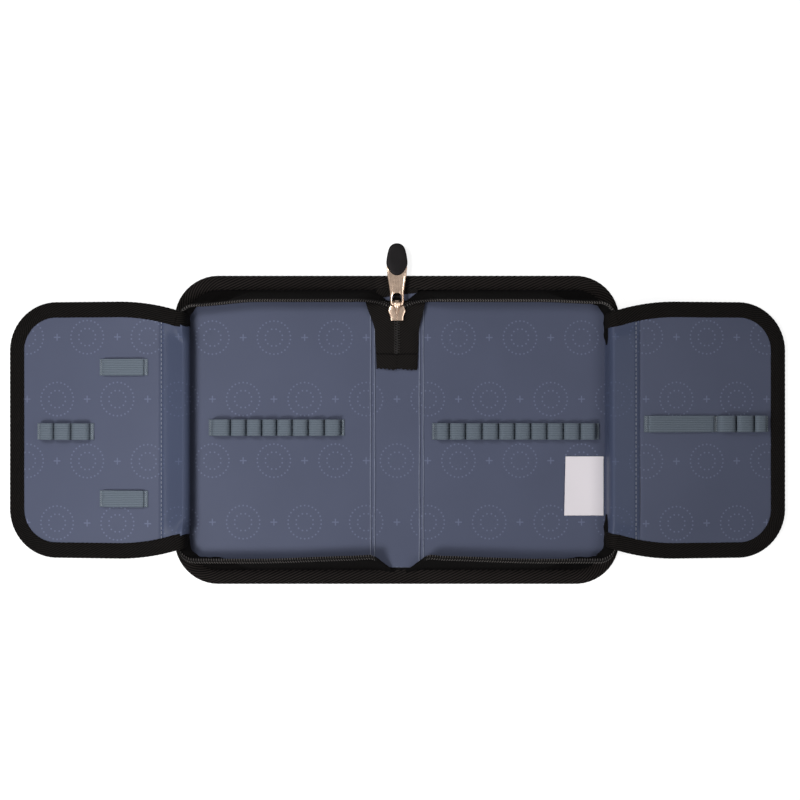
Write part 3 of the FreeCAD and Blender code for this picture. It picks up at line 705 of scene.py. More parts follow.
@dataclass(frozen=True)
class Elastic(Finish):
    """Ribbed elastic: cords along the ribbon coloured lighter and grooves between coloured darker,
    as painted light and shade, with fine threads across.
    """

    rib: float = 1.2
    rib_relief: float = 0.35
    weft: float = 0.5
    weft_relief: float = 0.12
    yarn_scale: float = 1.6
    relief: float = 0.00012
    gloss: float = 0.12
    groove_factor: float = 0.62
    cord_factor: float = 1.3

    def paint(self, nodes: Nodes, shader: bpy.types.Node) -> None:
        """Cords cos(2 pi v / rib) and cross threads cos(2 pi u / weft) on the ribbon's UV, with the
        colour following their height as painted shade in the grooves and painted light on the
        cords.
        """
        place = nodes.place("UV")
        split = nodes.add("SeparateXYZ", {0: place})
        cord = nodes.wave(split.outputs[1], self.rib)
        weft = nodes.wave(split.outputs[0], self.weft)
        yarn = nodes.noise(place, self.yarn_scale, 3.0)
        woven = nodes.math("MULTIPLY_ADD", weft, self.weft_relief, yarn)
        height = nodes.math("MULTIPLY_ADD", cord, self.rib_relief, woven)
        # painted shade and light: the colour follows the height, darker in the grooves and lighter
        # on the cords
        share = nodes.math("MULTIPLY_ADD", height, 0.7, 0.1, clamp=True)
        groove = linear(self.colour, self.groove_factor)
        nodes.feed(shader, {
            "Base Color": nodes.mix(share, groove, linear(self.colour, self.cord_factor)),
            "Specular IOR Level": self.gloss,
            "Normal": nodes.bump(height, self.relief),
        })


@dataclass(frozen=True)
class Moulded(Finish):
    """Nylon, rubber, board, thread, satin ribbon and weld beads, by grain and gloss; the coils' and
    the weld beads' lighter colours are painted highlights.
    """

    grain: float = 900.0
    grain_gloss: float = 0.16
    drift: float = 14.0
    contrast: float = 0.15
    relief: float = 0.00004
    gloss: float = 0.5

    def paint(self, nodes: Nodes, shader: bpy.types.Node) -> None:
        """Grain in tone, gloss and relief, with a slower drift of tone under it."""
        place = nodes.place("Object")
        fine = nodes.noise(place, self.grain, 3.0)
        slow = nodes.noise(place, self.grain / self.drift, 2.0)
        share = nodes.math("MULTIPLY_ADD", fine, 0.6, nodes.math("MULTIPLY", slow, 0.4))
        nodes.feed(shader, {
            "Base Color": nodes.mix(share, *self.tones(self.contrast)),
            "Roughness": nodes.wander(fine, self.roughness, self.grain_gloss),
            "Specular IOR Level": self.gloss,
            "Normal": nodes.bump(fine, self.relief),
        })


@dataclass(frozen=True)
class PlatedMetal(Finish):
    """Plated die-cast metal: brushed along the pull, with a soft grain and slight tarnish."""

    brush_scale: Triple = (2600.0, 160.0, 2600.0)
    brush_gloss: float = 0.2
    cloud_scale: float = 260.0
    dull_factor: float = 0.78
    bright_factor: float = 1.2
    relief: float = 0.00002

    def paint(self, nodes: Nodes, shader: bpy.types.Node) -> None:
        """Long brush marks along y, a drift of tone, and gloss that follows the marks."""
        place = nodes.place("Object")
        turned = nodes.add("Mapping", {"Vector": place, "Scale": self.brush_scale}).outputs[0]
        brush = nodes.noise(turned, 1.0, 3.0)
        cloud = nodes.noise(place, self.cloud_scale, 2.0)
        dull = linear(self.colour, self.dull_factor)
        nodes.feed(shader, {
            "Base Color": nodes.mix(cloud, dull, linear(self.colour, self.bright_factor)),
            "Metallic": 1.0,
            "Roughness": nodes.wander(brush, self.roughness, self.brush_gloss),
            "Normal": nodes.bump(brush, self.relief, 0.6),
        })


LINING = CoatedCloth("coated_lining", "lining", (74, 79, 98), 0.5)
# The hinge strip is a shade darker than the lining, partly its own tone and partly painted shade
# for its slope away from the lamps.
STRIP = CoatedCloth(
    "coated_hinge_strip", "lining", (62, 69, 90), 0.42, print_strength=0.5, gloss=0.12)
# The weld beads' colour, lighter than the lining, is a painted highlight on the ridge tops at the
# fold.
WELD_PAINTED_HIGHLIGHT = Moulded(
    "weld_bead", "lining", (108, 114, 132), 0.3, grain=500.0, contrast=0.35, gloss=0.4)
COVER = RibbedCloth("woven_cover", "cover_fabric", (27, 26, 28), 0.85, pitch=1.1, slope=1.0)
BINDING = RibbedCloth(
    "twill_binding", "binding_tape", (24, 21, 20), 0.8, pitch=3.9, contrast=1.0, relief=0.0002)
FLAP_TWILL = RibbedCloth(
    "flap_twill", "binding_tape", (15, 13, 12), 0.8, pitch=3.2, contrast=1.0, relief=0.0002)
TAPE = RibbedCloth(
    "woven_zip_tape", "zip_tape", (8, 7, 7), 0.85, pitch=0.8, slope=0.9, relief=0.00005)
TAIL = RibbedCloth(
    "brushed_zip_tail", "zip_tape", (23, 21, 20), 0.9, pitch=1.8, slope=0.9, contrast=0.7)
# Both coils stand for black nylon: their greys are painted highlights, the glints along the turns,
# and the tail's coil is lighter than its tapes so the meshed turns show as a faint ladder.
COIL = Moulded("nylon_coil", "zip_teeth", (82, 78, 76), 0.32, gloss=0.3)
TAIL_COIL = Moulded("nylon_tail_coil", "zip_teeth", (37, 35, 34), 0.32, gloss=0.3)
ELASTIC = Elastic("ribbed_elastic", "elastic", (94, 103, 113), 0.75)
TACK = Moulded(
    "grey_thread", "elastic", (142, 150, 158), 0.7, grain=2400.0, contrast=0.3, gloss=0.2)
SEAM = Moulded(
    "pale_thread", "lining", (134, 138, 150), 0.65, grain=2400.0, contrast=0.3, gloss=0.2)
BLACK_THREAD = Moulded(
    "black_thread", "binding_tape", (9, 8, 8), 0.7, grain=2400.0, contrast=0.4, gloss=0.1)
RIBBON = Moulded(
    "label_ribbon", "label_ribbon", (252, 245, 250), 0.5, grain=1500.0, contrast=0.05, gloss=0.2)
METAL = PlatedMetal("plated_metal", "slider_metal", (184, 161, 143), 0.27)
RUBBER = Moulded(
    "moulded_rubber", "grip_rubber", (26, 24, 25), 0.5, grain=1300.0, contrast=0.12, gloss=0.07)
BOARD = Moulded(
    "stiffener_board", "stiffener", (64, 64, 67), 0.8, grain=600.0, contrast=0.2, gloss=0.2)


def make_piece(name: str, patch: Patch, finish: Finish, sharp: float = 38.0) -> bpy.types.Object:
    """Put a patch into a mesh object at the origin, with its faces turned outwards.

    Args:
        name: the piece's name.
        patch: its surface, in millimetres.
        finish: what it is dressed in.
        sharp: edges that bend more than this many degrees stay sharp.

    Returns:
        The object, which rides on nothing yet.
    """
    mesh = bpy.data.meshes.new(name)
    count = len(patch.faces)
    mesh.vertices.add(len(patch.points))
    mesh.vertices.foreach_set("co", (patch.points * MM).astype(np.float32).ravel())
    mesh.loops.add(count * 4)
    mesh.loops.foreach_set("vertex_index", patch.faces.astype(np.int32).ravel())
    mesh.polygons.add(count)
    mesh.polygons.foreach_set("loop_start", np.arange(0, count * 4, 4, dtype=np.int32))
    mesh.update(calc_edges=True)
    mesh.uv_layers.new(name="UVMap").data.foreach_set("uv", patch.uv.astype(np.float32).ravel())
    work = bmesh.new()
    work.from_mesh(mesh)
    bmesh.ops.recalc_face_normals(work, faces=work.faces)
    work.to_mesh(mesh)
    work.free()
    mesh.polygons.foreach_set("use_smooth", np.ones(count, dtype=bool))
    mesh.set_sharp_from_angle(angle=math.radians(sharp))
    mesh.materials.append(finish.material())
    piece = bpy.data.objects.new(name, mesh)
    bpy.context.scene.collection.objects.link(piece)
    LOG.info("%s: %d faces", name, count)
    return piece


# Sizes that the frame gives


def joint_place(name: str) -> Array:
    """A joint's pivot in millimetres."""
    return np.array(next(joint for joint in frame["joints"] if joint["name"] == name)["pos_m"]) / MM


def node_box(name: str) -> Array:
    """A node's lowest and highest corner in millimetres."""
    return np.array([list(corner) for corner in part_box(name)]) / MM


@dataclass(frozen=True)
class CaseSizes:
    """Sizes that several sub-assemblies share, all from the frame but the corner radius."""

    half_width: float
    half_length: float
    fold: float
    floor: float
    rim: float
    corner: float = 29.0

    @classmethod
    def from_frame(cls) -> "CaseSizes":
        """Read the binding's box for the outline, the fold's pivot and the wall's top."""
        outline = node_box("right_edge_binding")[1]
        fold = joint_place("right_fold")
        return cls(outline[0], outline[1], fold[0], fold[2], node_box("right_zip_tape")[1][2])


def across_fold(piece: bpy.types.Object) -> None:
    """Set a flat piece's placement into its mesh.

    Args:
        piece: the finished piece.
    """
    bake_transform(piece)


# Sub-assemblies


@dataclass(frozen=True)
class EdgeBinding:
    """Twill tape folded over an edge: crowned above, half round at the nose, flat below."""

    width: float
    thickness: float
    crown: float
    seam_inset: float = 8.3
    crown_power: float = 0.7
    tape: float = 0.6
    pitch: float = 3.5
    slope: float = 2.2
    ridge: float = 0.06
    leg_steps: int = 28
    nose_steps: int = 8
    under_steps: int = 6

    def crowned(self, share: Array | float) -> Array:
        """Rise of the upper side at a share of the way from its inner edge to the nose."""
        return self.crown * np.sin(np.pi * share) ** self.crown_power

    def profile(self) -> Array:
        """Inset from the edge and height over the middle, from the upper side to the lower."""
        half = self.thickness / 2
        t = np.linspace(0.0, 1.0, self.leg_steps, endpoint=False)
        upper = np.stack([self.width + (half - self.width) * t, half + self.crowned(t)], -1)
        angle = np.linspace(np.pi / 2, 3 * np.pi / 2, self.nose_steps, endpoint=False)
        nose = np.stack([half + half * np.cos(angle), half * np.sin(angle)], -1)
        inset = np.linspace(half, self.width, self.under_steps)
        lower = np.stack([inset, np.full(self.under_steps, -half)], -1)
        return np.concatenate([upper, nose, lower])

    def patch(
        self, edge: Array, inward: Array, up: Array, hand: float, swell: Array | float = 1.0
    ) -> Patch:
        """The tape along an edge: edge + inward * inset + up * height, with ridges aslant on top.

        Args:
            edge: the outer edge's line, on the middle of the thickness.
            inward: unit directions away from the edge, one per point.
            up: unit directions of the thickness, one per point.
            hand: 1 or -1, which way the ridges lean.
            swell: factor of the height, one per point or one for all.

        Returns:
            The closed patch.
        """
        shape = self.profile()
        tall = np.broadcast_to(swell, len(edge))[:, None, None]
        surface = edge[:, None] + inward[:, None] * shape[:, :1] + up[:, None] * shape[:, 1:] * tall
        over = travel(lift(shape))
        uv = np.stack(np.meshgrid(travel(edge), hand * over, indexing="ij"), -1)
        wave = np.cos(2 * np.pi * (uv[..., 0] + self.slope * uv[..., 1]) / self.pitch)
        return sheet(surface + normals(surface) * (self.ridge * wave)[..., None], self.tape, uv)

    def seam(self, edge: Array, inward: Array, up: Array) -> Patch:
        """A row of stitches on the upper side, near its inner edge."""
        half = self.thickness / 2
        share = (self.width - self.seam_inset) / (self.width - half)
        rise = half + self.tape / 2 + self.crowned(share)
        return EDGE_STITCH.row(edge + inward * self.seam_inset + up * rise, up)


EDGE_STITCH = Stitch(pitch=2.6, length=1.9, radius=0.2)
HEM_STITCH = Stitch(pitch=1.9, length=1.5, radius=0.2)
STRIP_STITCH = Stitch(pitch=3.0, length=2.2, radius=0.22)
BODY_BINDING = EdgeBinding(width=9.1, thickness=1.86, crown=0.75, pitch=3.9)
FLAP_BINDING = EdgeBinding(width=10.0, thickness=2.9, crown=0.4, seam_inset=6.2, pitch=3.2)


@dataclass
class Shell:
    """The flat bed: outer cover, lining and edge binding of both halves and the spine."""

    sizes: CaseSizes
    seam: float = 14.1
    lining_inset: float = 10.9
    lining_side: float = 9.2
    lining_thickness: float = 0.4
    lining_rows: int = 110
    cover_inset: float = 8.6
    cover_thickness: float = 0.6
    cover_height: float = 0.4
    cover_rows: int = 60
    binding_height: float = 1.28
    fine_zone: float = 3.0
    ridges: tuple[float, float] = (14.95, 17.55)
    ridge_height: float = 0.3
    ridge_width: float = 0.5
    groove_depth: float = 0.2
    groove_width: float = 0.5
    wave: float = 0.1
    bead_radius: float = 0.34
    bead_height: float = 0.28
    bead_sway: float = 0.12
    bead_swell: float = 0.08
    bead_gap: float = 0.5

    @property
    def lining_middle(self) -> float:
        """Height of the middle of the lining's thickness."""
        return self.sizes.floor - self.lining_thickness / 2

    def build(self) -> None:
        """Make both halves and the spine."""
        for side in Side:
            self.half(side)
        self.spine()

    def bed(self, inset: float, side_inset: float, rows: int) -> tuple[Array, Array]:
        """Places across a half's bed: y = v * h(x), with h less by a quarter circle at the corners.

        Args:
            inset: how far the bed stays inside the case's top and bottom.
            side_inset: how far it stays inside the case's outer side.
            rows: steps across.

        Returns:
            x and y on a grid that is finest beside the fold.
        """
        radius = self.sizes.corner - inset
        bend = self.sizes.half_width - self.sizes.corner
        zone = self.sizes.fold + self.fine_zone
        near = np.linspace(self.seam, zone, 40, endpoint=False)
        middle = np.linspace(zone, bend, 44, endpoint=False)
        angle = np.linspace(0.0, np.pi / 2, 18)
        reach = self.sizes.corner - side_inset
        x = np.concatenate([near, middle, bend + reach * np.sin(angle)])
        drop = np.concatenate([np.zeros(len(near) + len(middle)), radius * (1 - np.cos(angle))])
        half = self.sizes.half_length - inset - drop
        v = np.linspace(-1.0, 1.0, rows)
        return np.broadcast_to(x[:, None], (len(x), rows)), half[:, None] * v

    def relief(self, x: Array, y: Array) -> Array:
        """Welded double ridge at the fold, a groove between, and slow waves of the cloth."""
        rise = sum(hill(x, place, self.ridge_width) for place in self.ridges)
        groove = hill(x, self.sizes.fold, self.groove_width)
        slow = np.sin(x / 17 + 1.3) * np.sin(y / 23 + 0.4) + 0.6 * np.sin(x / 9 - y / 13 + 2.1)
        return self.ridge_height * rise - self.groove_depth * groove + self.wave * slow

    def half(self, side: Side) -> None:
        """Cover, lining and binding of one half, each carried a little past the fold.

        Args:
            side: which half.
        """
        word = side.word
        x, y = self.bed(self.cover_inset, self.cover_inset, self.cover_rows)
        cover = sheet(side.turn(points(x, y, self.cover_height)), self.cover_thickness)
        piece = make_piece(f"{word}_cover_cloth", cover, COVER)
        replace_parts(piece, f"{word}_outer_cover")
        across_fold(piece)
        x, y = self.bed(self.lining_inset, self.lining_side, self.lining_rows)
        z = self.lining_middle + self.relief(x, y * side.value)
        lining = sheet(side.turn(points(x, y, z)), self.lining_thickness)
        piece = make_piece(f"{word}_lining_cloth", lining, LINING)
        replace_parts(piece, f"{word}_lining")
        across_fold(piece)
        self.weld(side)
        path = UPath(self.seam, self.sizes.half_length, self.sizes.half_width, self.sizes.corner)
        flat, normal = path.trace(170, 60, 230)
        edge = side.turn(lift(flat, self.binding_height))
        inward = side.turn(lift(-normal))
        up = steady(Z_AXIS, len(edge))
        tape = BODY_BINDING.patch(edge, inward, up, -side.value)
        piece = make_piece(f"{word}_binding_tape", tape, BINDING)
        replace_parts(piece, f"{word}_edge_binding")
        across_fold(piece)
        stitches = BODY_BINDING.seam(edge, inward, up)
        piece = make_piece(f"{word}_binding_stitches", stitches, BLACK_THREAD)
        across_fold(piece)

    def weld(self, side: Side) -> None:
        """Two welded beads along the fold, each wavering a little as sin(y / 9), in a colour
        lighter than the lining that paints the highlight on the ridge tops.

        Args:
            side: which half.
        """
        reach = self.sizes.half_length - self.lining_inset - self.bead_gap
        y = np.linspace(-reach, reach, 160)
        beads = []
        for place in self.ridges:
            x = place + self.bead_sway * np.sin(y / 9 + place)
            z = self.sizes.floor + self.bead_height + self.bead_swell * np.sin(y / 5 + 2 * place)
            beads.append(thread(side.turn(points(x, y, z)), self.bead_radius, 8))
        piece = make_piece(f"{side.word}_fold_welds", join(beads), WELD_PAINTED_HIGHLIGHT)
        across_fold(piece)

    def spine(self) -> None:
        """Cover, lining and the two bound ends of the spine."""
        reach = self.sizes.half_length - self.lining_inset
        x = np.linspace(-self.seam, self.seam, 40)
        wide, y = np.meshgrid(x, reach * np.linspace(-1.0, 1.0, self.lining_rows), indexing="ij")
        z = self.lining_middle + self.relief(np.abs(wide), y)
        lining = sheet(points(wide, y, z), self.lining_thickness)
        piece = make_piece("spine_lining_cloth", lining, LINING)
        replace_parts(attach(piece, "spine"), "spine_lining")
        y = y * (reach + self.lining_inset - self.cover_inset) / reach
        cover = sheet(points(wide, y, self.cover_height), self.cover_thickness)
        piece = make_piece("spine_cover_cloth", cover, COVER)
        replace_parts(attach(piece, "spine"), "spine_outer_cover")
        run = np.linspace(-self.seam, self.seam, 50)
        up = steady(Z_AXIS, len(run))
        for word, sign in (("top", 1.0), ("bottom", -1.0)):
            edge = points(run, sign * self.sizes.half_length, self.binding_height)
            inward = steady(-sign * Y_AXIS, len(run))
            tape = BODY_BINDING.patch(edge, inward, up, -sign)
            piece = make_piece(f"spine_{word}_binding_tape", tape, BINDING)
            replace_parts(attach(piece, "spine"), f"spine_{word}_binding")
            stitches = BODY_BINDING.seam(edge, inward, up)
            piece = make_piece(f"spine_{word}_stitches", stitches, BLACK_THREAD)
            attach(piece, "spine")


@dataclass(frozen=True)
class Coil:
    """Nylon zip coil: a flattened helix of round wire."""

    pitch: float = 1.67
    half_width: float = 1.45
    half_height: float = 0.75
    wire: float = 0.23
    cord_gap: tuple[float, float] = (0.15, 0.12)
    sewing: float = 0.42
    under_gap: float = 0.1
    feel: float = 0.2
    turn_steps: int = 12
    wire_sides: int = 6

    def patch(self, path: Array, major: Array, minor: Array) -> Patch:
        """centre = path + major a cos(phi) + minor b sin(phi), moving on while cos(phi) is below 0.

        Args:
            path: the coil's middle line.
            major: unit directions across the flat of the coil, one per path point.
            minor: unit directions through it, one per path point.

        Returns:
            The closed patch.
        """
        known = travel(path)
        turns = int(known[-1] / self.pitch)
        turn, step = np.divmod(np.arange(self.turn_steps * turns), self.turn_steps)
        at = self.pitch * (turn + np.clip(2 * step / self.turn_steps - 0.5, 0.0, 1.0))
        phi = (2 * np.pi / self.turn_steps * step)[:, None]
        middle, wide, high = [read_off(rows, known, at) for rows in (path, major, minor)]
        ahead = unit(resample(path, at + self.feel) - resample(path, at - self.feel))
        flat, through = unit(wide) * np.cos(phi), unit(high) * np.sin(phi)
        centre = middle + self.half_width * flat + self.half_height * through
        ring = superellipse(2.0, self.wire_sides) * self.wire
        return rings(centre, unit(flat + through), ahead, ring)

    def cords(self, path: Array, major: Array, minor: Array) -> Patch:
        """The cord that fills the coil, and the sewing threads along both its sides; the lower
        thread is partly painted shade, a black line where the coil's shade falls.

        Args:
            path: the coil's middle line.
            major: unit directions across the flat of the coil, one per path point.
            minor: unit directions through it, one per path point.

        Returns:
            The joined patch.
        """
        gap_x, gap_y = self.cord_gap
        filling = rounded_box(self.half_width - gap_x, self.half_height - gap_y, 2.0, 12)
        rise = self.half_height + self.wire / 2
        # the lower height puts a black thread under the coil: partly a sewing thread, partly
        # painted shade
        heights = (rise, -(rise + self.under_gap))
        seams = [thread(path + minor * height, self.sewing) for height in heights]
        return join([rings(path, major, minor, filling), *seams])


COIL_SHAPE = Coil()
TAIL_COIL_SHAPE = Coil(half_width=1.0, half_height=0.35, wire=0.26)


@dataclass
class ZipRun:
    """The zip round one half: a wall of tape from bed to rim, with the coil on its free edge.

    Past the wall's mitred ends the tape runs on, at the top to the slider and at the bottom down to
    the bed. A zone is the place where a change begins, and how far it takes.
    """

    sizes: CaseSizes
    foot_inset: float = 10.1
    foot_side: float = 8.8
    foot_height: float = 2.9
    rim_half_length: float = 85.5
    rim_half_width: float = 144.0
    rim_corner: float = 11.0
    left_sag: float = 3.2
    right_sag: float = 1.4
    sag_zone: tuple[float, float] = (92.0, 42.0)
    bottom_slack: float = 0.5
    bottom_lean: float = 2.0
    lean_zone: tuple[float, float] = (20.0, 75.0)
    run_zone: tuple[float, float] = (60.0, 15.0)
    lead_low: tuple[Triple, ...] = ((4.8, 84.4, 4.3), (9.5, 87.5, 3.6), (12.5, 91.5, 3.0))
    lead_high: tuple[Triple, ...] = ((4.2, 82.2, 4.9), (10.0, 85.2, 5.6), (19.5, 85.9, 14.8))
    end_low: Triple = (1.6, -94.9, 2.3)
    end_high: tuple[Triple, ...] = ((17.5, -83.4, 16.2), (13.6, -85.0, 13.9), (2.2, -94.6, 3.0))
    end_shares: tuple[float, ...] = (0.0, 0.4, 0.55, 1.0)
    right_end: float = 4.4
    tape: float = 0.6
    bulge: float = 0.5
    crumple: float = 0.35
    crumple_pitch: float = 8.5
    buckle: float = 4.5
    corner_x: tuple[float, float] = (105.0, 20.0)
    corner_y: tuple[float, float] = (50.0, 15.0)
    margin: float = 1.1
    flat_share: float = 0.9
    coil_stand: float = 0.2
    coil_lift: float = 0.65
    coil_end: float = 13.9
    bend_start: float = 1.3
    bend_in: float = 6.9
    bend_up: float = 4.0
    steps_up: int = 12
    end_steps: int = 31

    @property
    def mitre(self) -> float:
        """Where the wall's foot starts; its rim starts as much further out as it is high."""
        return self.sizes.fold + 0.3

    def rim(self, side: Side, counts: tuple[int, int, int]) -> Array:
        """The free edge: a rounded outline that sags to the corners and leans in at the bottom.

        Args:
            side: which half, as the left one sags more.
            counts: steps on the run, the corner and the side.

        Returns:
            Points from the top run round to the bottom run.
        """
        start = self.mitre + self.sizes.rim - self.sizes.floor
        path = UPath(start, self.rim_half_length, self.rim_half_width, self.rim_corner)
        flat = path.trace(*counts)[0]
        out, upper = flat[:, 0], flat[:, 1] > 0
        most = self.left_sag if side is Side.LEFT else self.right_sag
        lean = self.bottom_lean * (1 - ramp(out, *self.lean_zone)) - self.bottom_slack
        shift = np.where(upper, -most * ramp(out, *self.sag_zone), lean)
        flat[:, 1] += shift * ramp(np.abs(flat[:, 1]), *self.run_zone)
        return lift(flat, self.sizes.rim)

    def edges(self, side: Side) -> tuple[Array, Array]:
        """The sewn edge and the coil's line, point for point.

        Args:
            side: which half.

        Returns:
            Both lines, from the slider round the half to the spine's bottom end.
        """
        foot = UPath(
            self.mitre,
            self.sizes.half_length - self.foot_inset,
            self.sizes.half_width - self.foot_side,
            self.sizes.corner - self.foot_inset,
        )
        counts = (60, 30, 60)
        low = lift(foot.trace(*counts)[0], self.foot_height)
        high = self.rim(side, counts)
        steps = self.end_steps
        lead_low = bezier([*self.lead_low, tuple(low[0])], steps)
        lead_high = bezier([*self.lead_high, tuple(high[0])], steps)
        shift = X_AXIS * (self.right_end if side is Side.RIGHT else 0.0)
        drop = np.concatenate([high[-1:], np.array(self.end_high) + shift])
        end_high = read_off(drop, np.array(self.end_shares), np.linspace(0.0, 1.0, steps))
        end_low = np.linspace(low[-1], np.array(self.end_low) + shift, steps)
        sewn = np.concatenate([lead_low[:-1], low, end_low[1:]])
        coil = np.concatenate([lead_high[:-1], high, end_high[1:]])
        return sewn, coil

    def wall(self, sewn: Array, free: Array) -> Array:
        """Surface (1-t) sewn + t free, bowed outwards by sin(pi t) and crumpled at the corners.

        Args:
            sewn: the edge at the bed.
            free: the edge past the coil.

        Returns:
            The grid of points, along by up.
        """
        t = np.linspace(0.0, 1.0, self.steps_up)[None, :, None]
        flat = sewn[:, None] * (1 - t) + free[:, None] * t
        facing = normals(flat)
        outward = facing * np.sign(np.sum(facing * flat * [1.0, 1.0, 0.0], -1, keepdims=True))
        along = travel(free)[:, None, None]
        away = np.abs(free)[:, None]
        corner = ramp(away[..., :1], *self.corner_x) * ramp(away[..., 1:2], *self.corner_y)
        wrinkle = self.crumple * np.sin(2 * np.pi * along / self.crumple_pitch) * corner
        bow = self.bulge + wrinkle - self.buckle * corner
        return flat + outward * bow * np.sin(np.pi * t)

    def build(self, side: Side) -> None:
        """Make the tape and the coil of one half.

        Args:
            side: which half.
        """
        word = side.word
        sewn, line = self.edges(side)
        up = unit(line - sewn)
        flatter = ramp(-line[:, 1:2], *self.run_zone)
        share = self.flat_share * flatter
        major = unit(up * (1 - share) + Y_AXIS * share)
        free = line + major * self.margin * (2 * flatter - 1)
        tape = sheet(side.turn(self.wall(sewn, free)), self.tape)
        piece = make_piece(f"{word}_zip_wall_tape", tape, TAPE)
        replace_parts(piece, f"{word}_zip_tape", f"{word}_zip_lead", f"{word}_zip_foot")
        self.bend(piece, side)
        past = line[-self.end_steps:, 2] < self.coil_end
        stop = len(line) - self.end_steps + int(np.argmax(past))
        ahead = unit(np.gradient(line, axis=0))
        minor = unit(np.cross(major, ahead))
        minor = minor * np.where(minor[:, 2:] < 0, -1.0, 1.0)
        middle = line + minor * (self.coil_stand + self.coil_lift * flatter)
        turned = [side.turn(value[:stop]) for value in (middle, major, minor)]
        piece = make_piece(f"{word}_zip_coil", COIL_SHAPE.patch(*turned), COIL)
        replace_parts(piece, f"{word}_zip_chain")
        self.bend(piece, side)
        piece = make_piece(f"{word}_zip_coil_cords", COIL_SHAPE.cords(*turned), BLACK_THREAD)
        self.bend(piece, side)

    def bend(self, piece: bpy.types.Object, side: Side) -> None:
        """Set a piece's placement into its mesh."""
        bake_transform(piece)


@dataclass
class ZipTail:
    """The closed end of the zip below the slider: two tapes side by side, meshed coils, a hem."""

    sizes: CaseSizes
    low: float = 40.4
    high: float = 86.0
    width_low: float = 13.5
    width_high: float = 15.4
    flare_left: float = 5.6
    flare_right: float = 3.6
    flare_zone: tuple[float, float] = (64.0, 24.0)
    height: float = 4.5
    droop: float = 1.1
    droop_zone: tuple[float, float] = (58.0, 20.0)
    raised: float = 2.6
    raised_zone: tuple[float, float] = (70.0, 16.0)
    ripple: float = 0.22
    tape: float = 0.55
    tongue: float = 4.6
    tongue_taper: float = 4.6
    hem_top: float = 50.6
    hem_groove: float = 0.7
    hem_groove_width: float = 0.45
    hem_step: float = 0.45
    hem_step_reach: float = 0.7
    seam_share: float = 0.95
    seam_rise: float = 0.3
    coil_gap: float = 0.8
    coil_high: float = 74.0
    coil_half: float = 0.75
    coil_stagger: float = 0.375
    coil_rise: float = 0.45
    bend_out: float = 20.0
    bend_in: float = 15.0
    end_tuck: float = 8.6
    end_edge: float = 89.5
    end_half: float = 13.8
    end_slant: float = 0.135
    end_rise: float = 0.45
    end_wave: float = 0.15

    def surface(self, side: Side) -> Array:
        """Half of the tail: x = u w(y), flaring and lifted to the slider, longest in the middle.

        Args:
            side: which tape.

        Returns:
            The grid of points.
        """
        u = np.linspace(0.01, 1.0, 30)[None, :]
        share = np.linspace(1.0, 0.0, 180)[:, None]
        top = self.high + self.tongue * (1 - smooth(u * self.tongue_taper))
        y = self.low + share * (top - self.low)
        most = self.flare_left if side is Side.LEFT else self.flare_right
        flare = most * ramp(y, *self.flare_zone)
        wide = self.width_low + (self.width_high - self.width_low) * share + flare
        fray = 0.35 * np.sin(u * 31.0 + side.value) + 0.5 * np.sin(u * 4.0 + 2.0 * side.value)
        ragged = y + fray * (1 - smooth(share * 14.0))
        droop = -self.droop * u**5 * (1 - ramp(y, *self.droop_zone))
        raised = self.raised * u**3 * ramp(y, *self.raised_zone)
        ripple = self.ripple * np.sin(y / 3.1 + u * 3.0) * u
        groove = self.hem_groove * hill(y, self.hem_top, self.hem_groove_width)
        reach = self.hem_step_reach
        step = self.hem_step * (1 - ramp(y, self.hem_top - reach, reach))
        z = self.height + droop + raised + ripple - groove + step
        return side.turn(points(u * wide, ragged, z))

    def tape_ends(self) -> None:
        """The cut ends of the zip tapes below the top binding: y from there to a slanted edge."""
        x = np.linspace(-self.end_half, self.end_half, 44)[:, None]
        v = np.linspace(0.0, 1.0, 10)[None, :]
        top = self.sizes.half_length - self.end_tuck
        y = top + (self.end_edge + self.end_slant * x - top) * v
        z = self.sizes.floor + self.end_rise + self.end_wave * np.sin(x / 2.3 + 1.0) * v
        ends = sheet(points(x, y, z), self.tape)
        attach(make_piece("spine_tape_ends", ends, TAIL), "spine")

    def build(self) -> None:
        """Make both tapes, the meshed coils, the hem and the cut ends."""
        rows = []
        for side in Side:
            tape = sheet(self.surface(side), self.tape)
            piece = make_piece(f"zip_tail_{side.word}_tape", tape, TAIL)
            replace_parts(piece, "zip_tail_tape")
            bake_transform(piece)
            run = np.linspace(self.hem_top + self.coil_gap, self.coil_high, 60)
            x, y = side.value * self.coil_half, run + side.value * self.coil_stagger
            line = points(x, y, self.height + self.coil_rise)
            flat, through = steady(X_AXIS, len(run)), steady(Z_AXIS, len(run))
            rows.append(TAIL_COIL_SHAPE.patch(line, flat, through))
        piece = make_piece("zip_tail_coil", join(rows), TAIL_COIL)
        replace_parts(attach(piece, "spine"), "zip_tail_chain")
        self.hem(node_box("zip_tail_hem"))
        self.tape_ends()

    def hem(self, box: Array) -> None:
        """The turned-up hem under the tail's end, and the stitches that hold it.

        Args:
            box: lowest and highest corner of the hem.
        """
        x = np.linspace(box[0, 0], box[1, 0], 40)
        middle = box.mean(axis=0)
        half = (box[1] - box[0]) / 2
        thin = 1 - 0.5 * ((x - middle[0]) / half[0]) ** 8
        profile = rounded_box(half[1], half[2], 4.0, 24) * thin[:, None, None]
        fold = rings(points(x, middle[1], middle[2]), Y_AXIS, Z_AXIS, profile)
        piece = make_piece("zip_tail_hem_fold", fold, TAIL)
        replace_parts(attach(piece, "spine"), "zip_tail_hem")
        reach = self.width_low * self.seam_share
        run = np.linspace(-reach, reach, 60)
        z = self.height + self.seam_rise - self.droop * (run / self.width_low) ** 6
        line = points(run, self.hem_top, z)
        stitches = HEM_STITCH.row(line, steady(Z_AXIS, len(run)))
        piece = make_piece("zip_tail_hem_stitches", stitches, BLACK_THREAD)
        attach(piece, "spine")


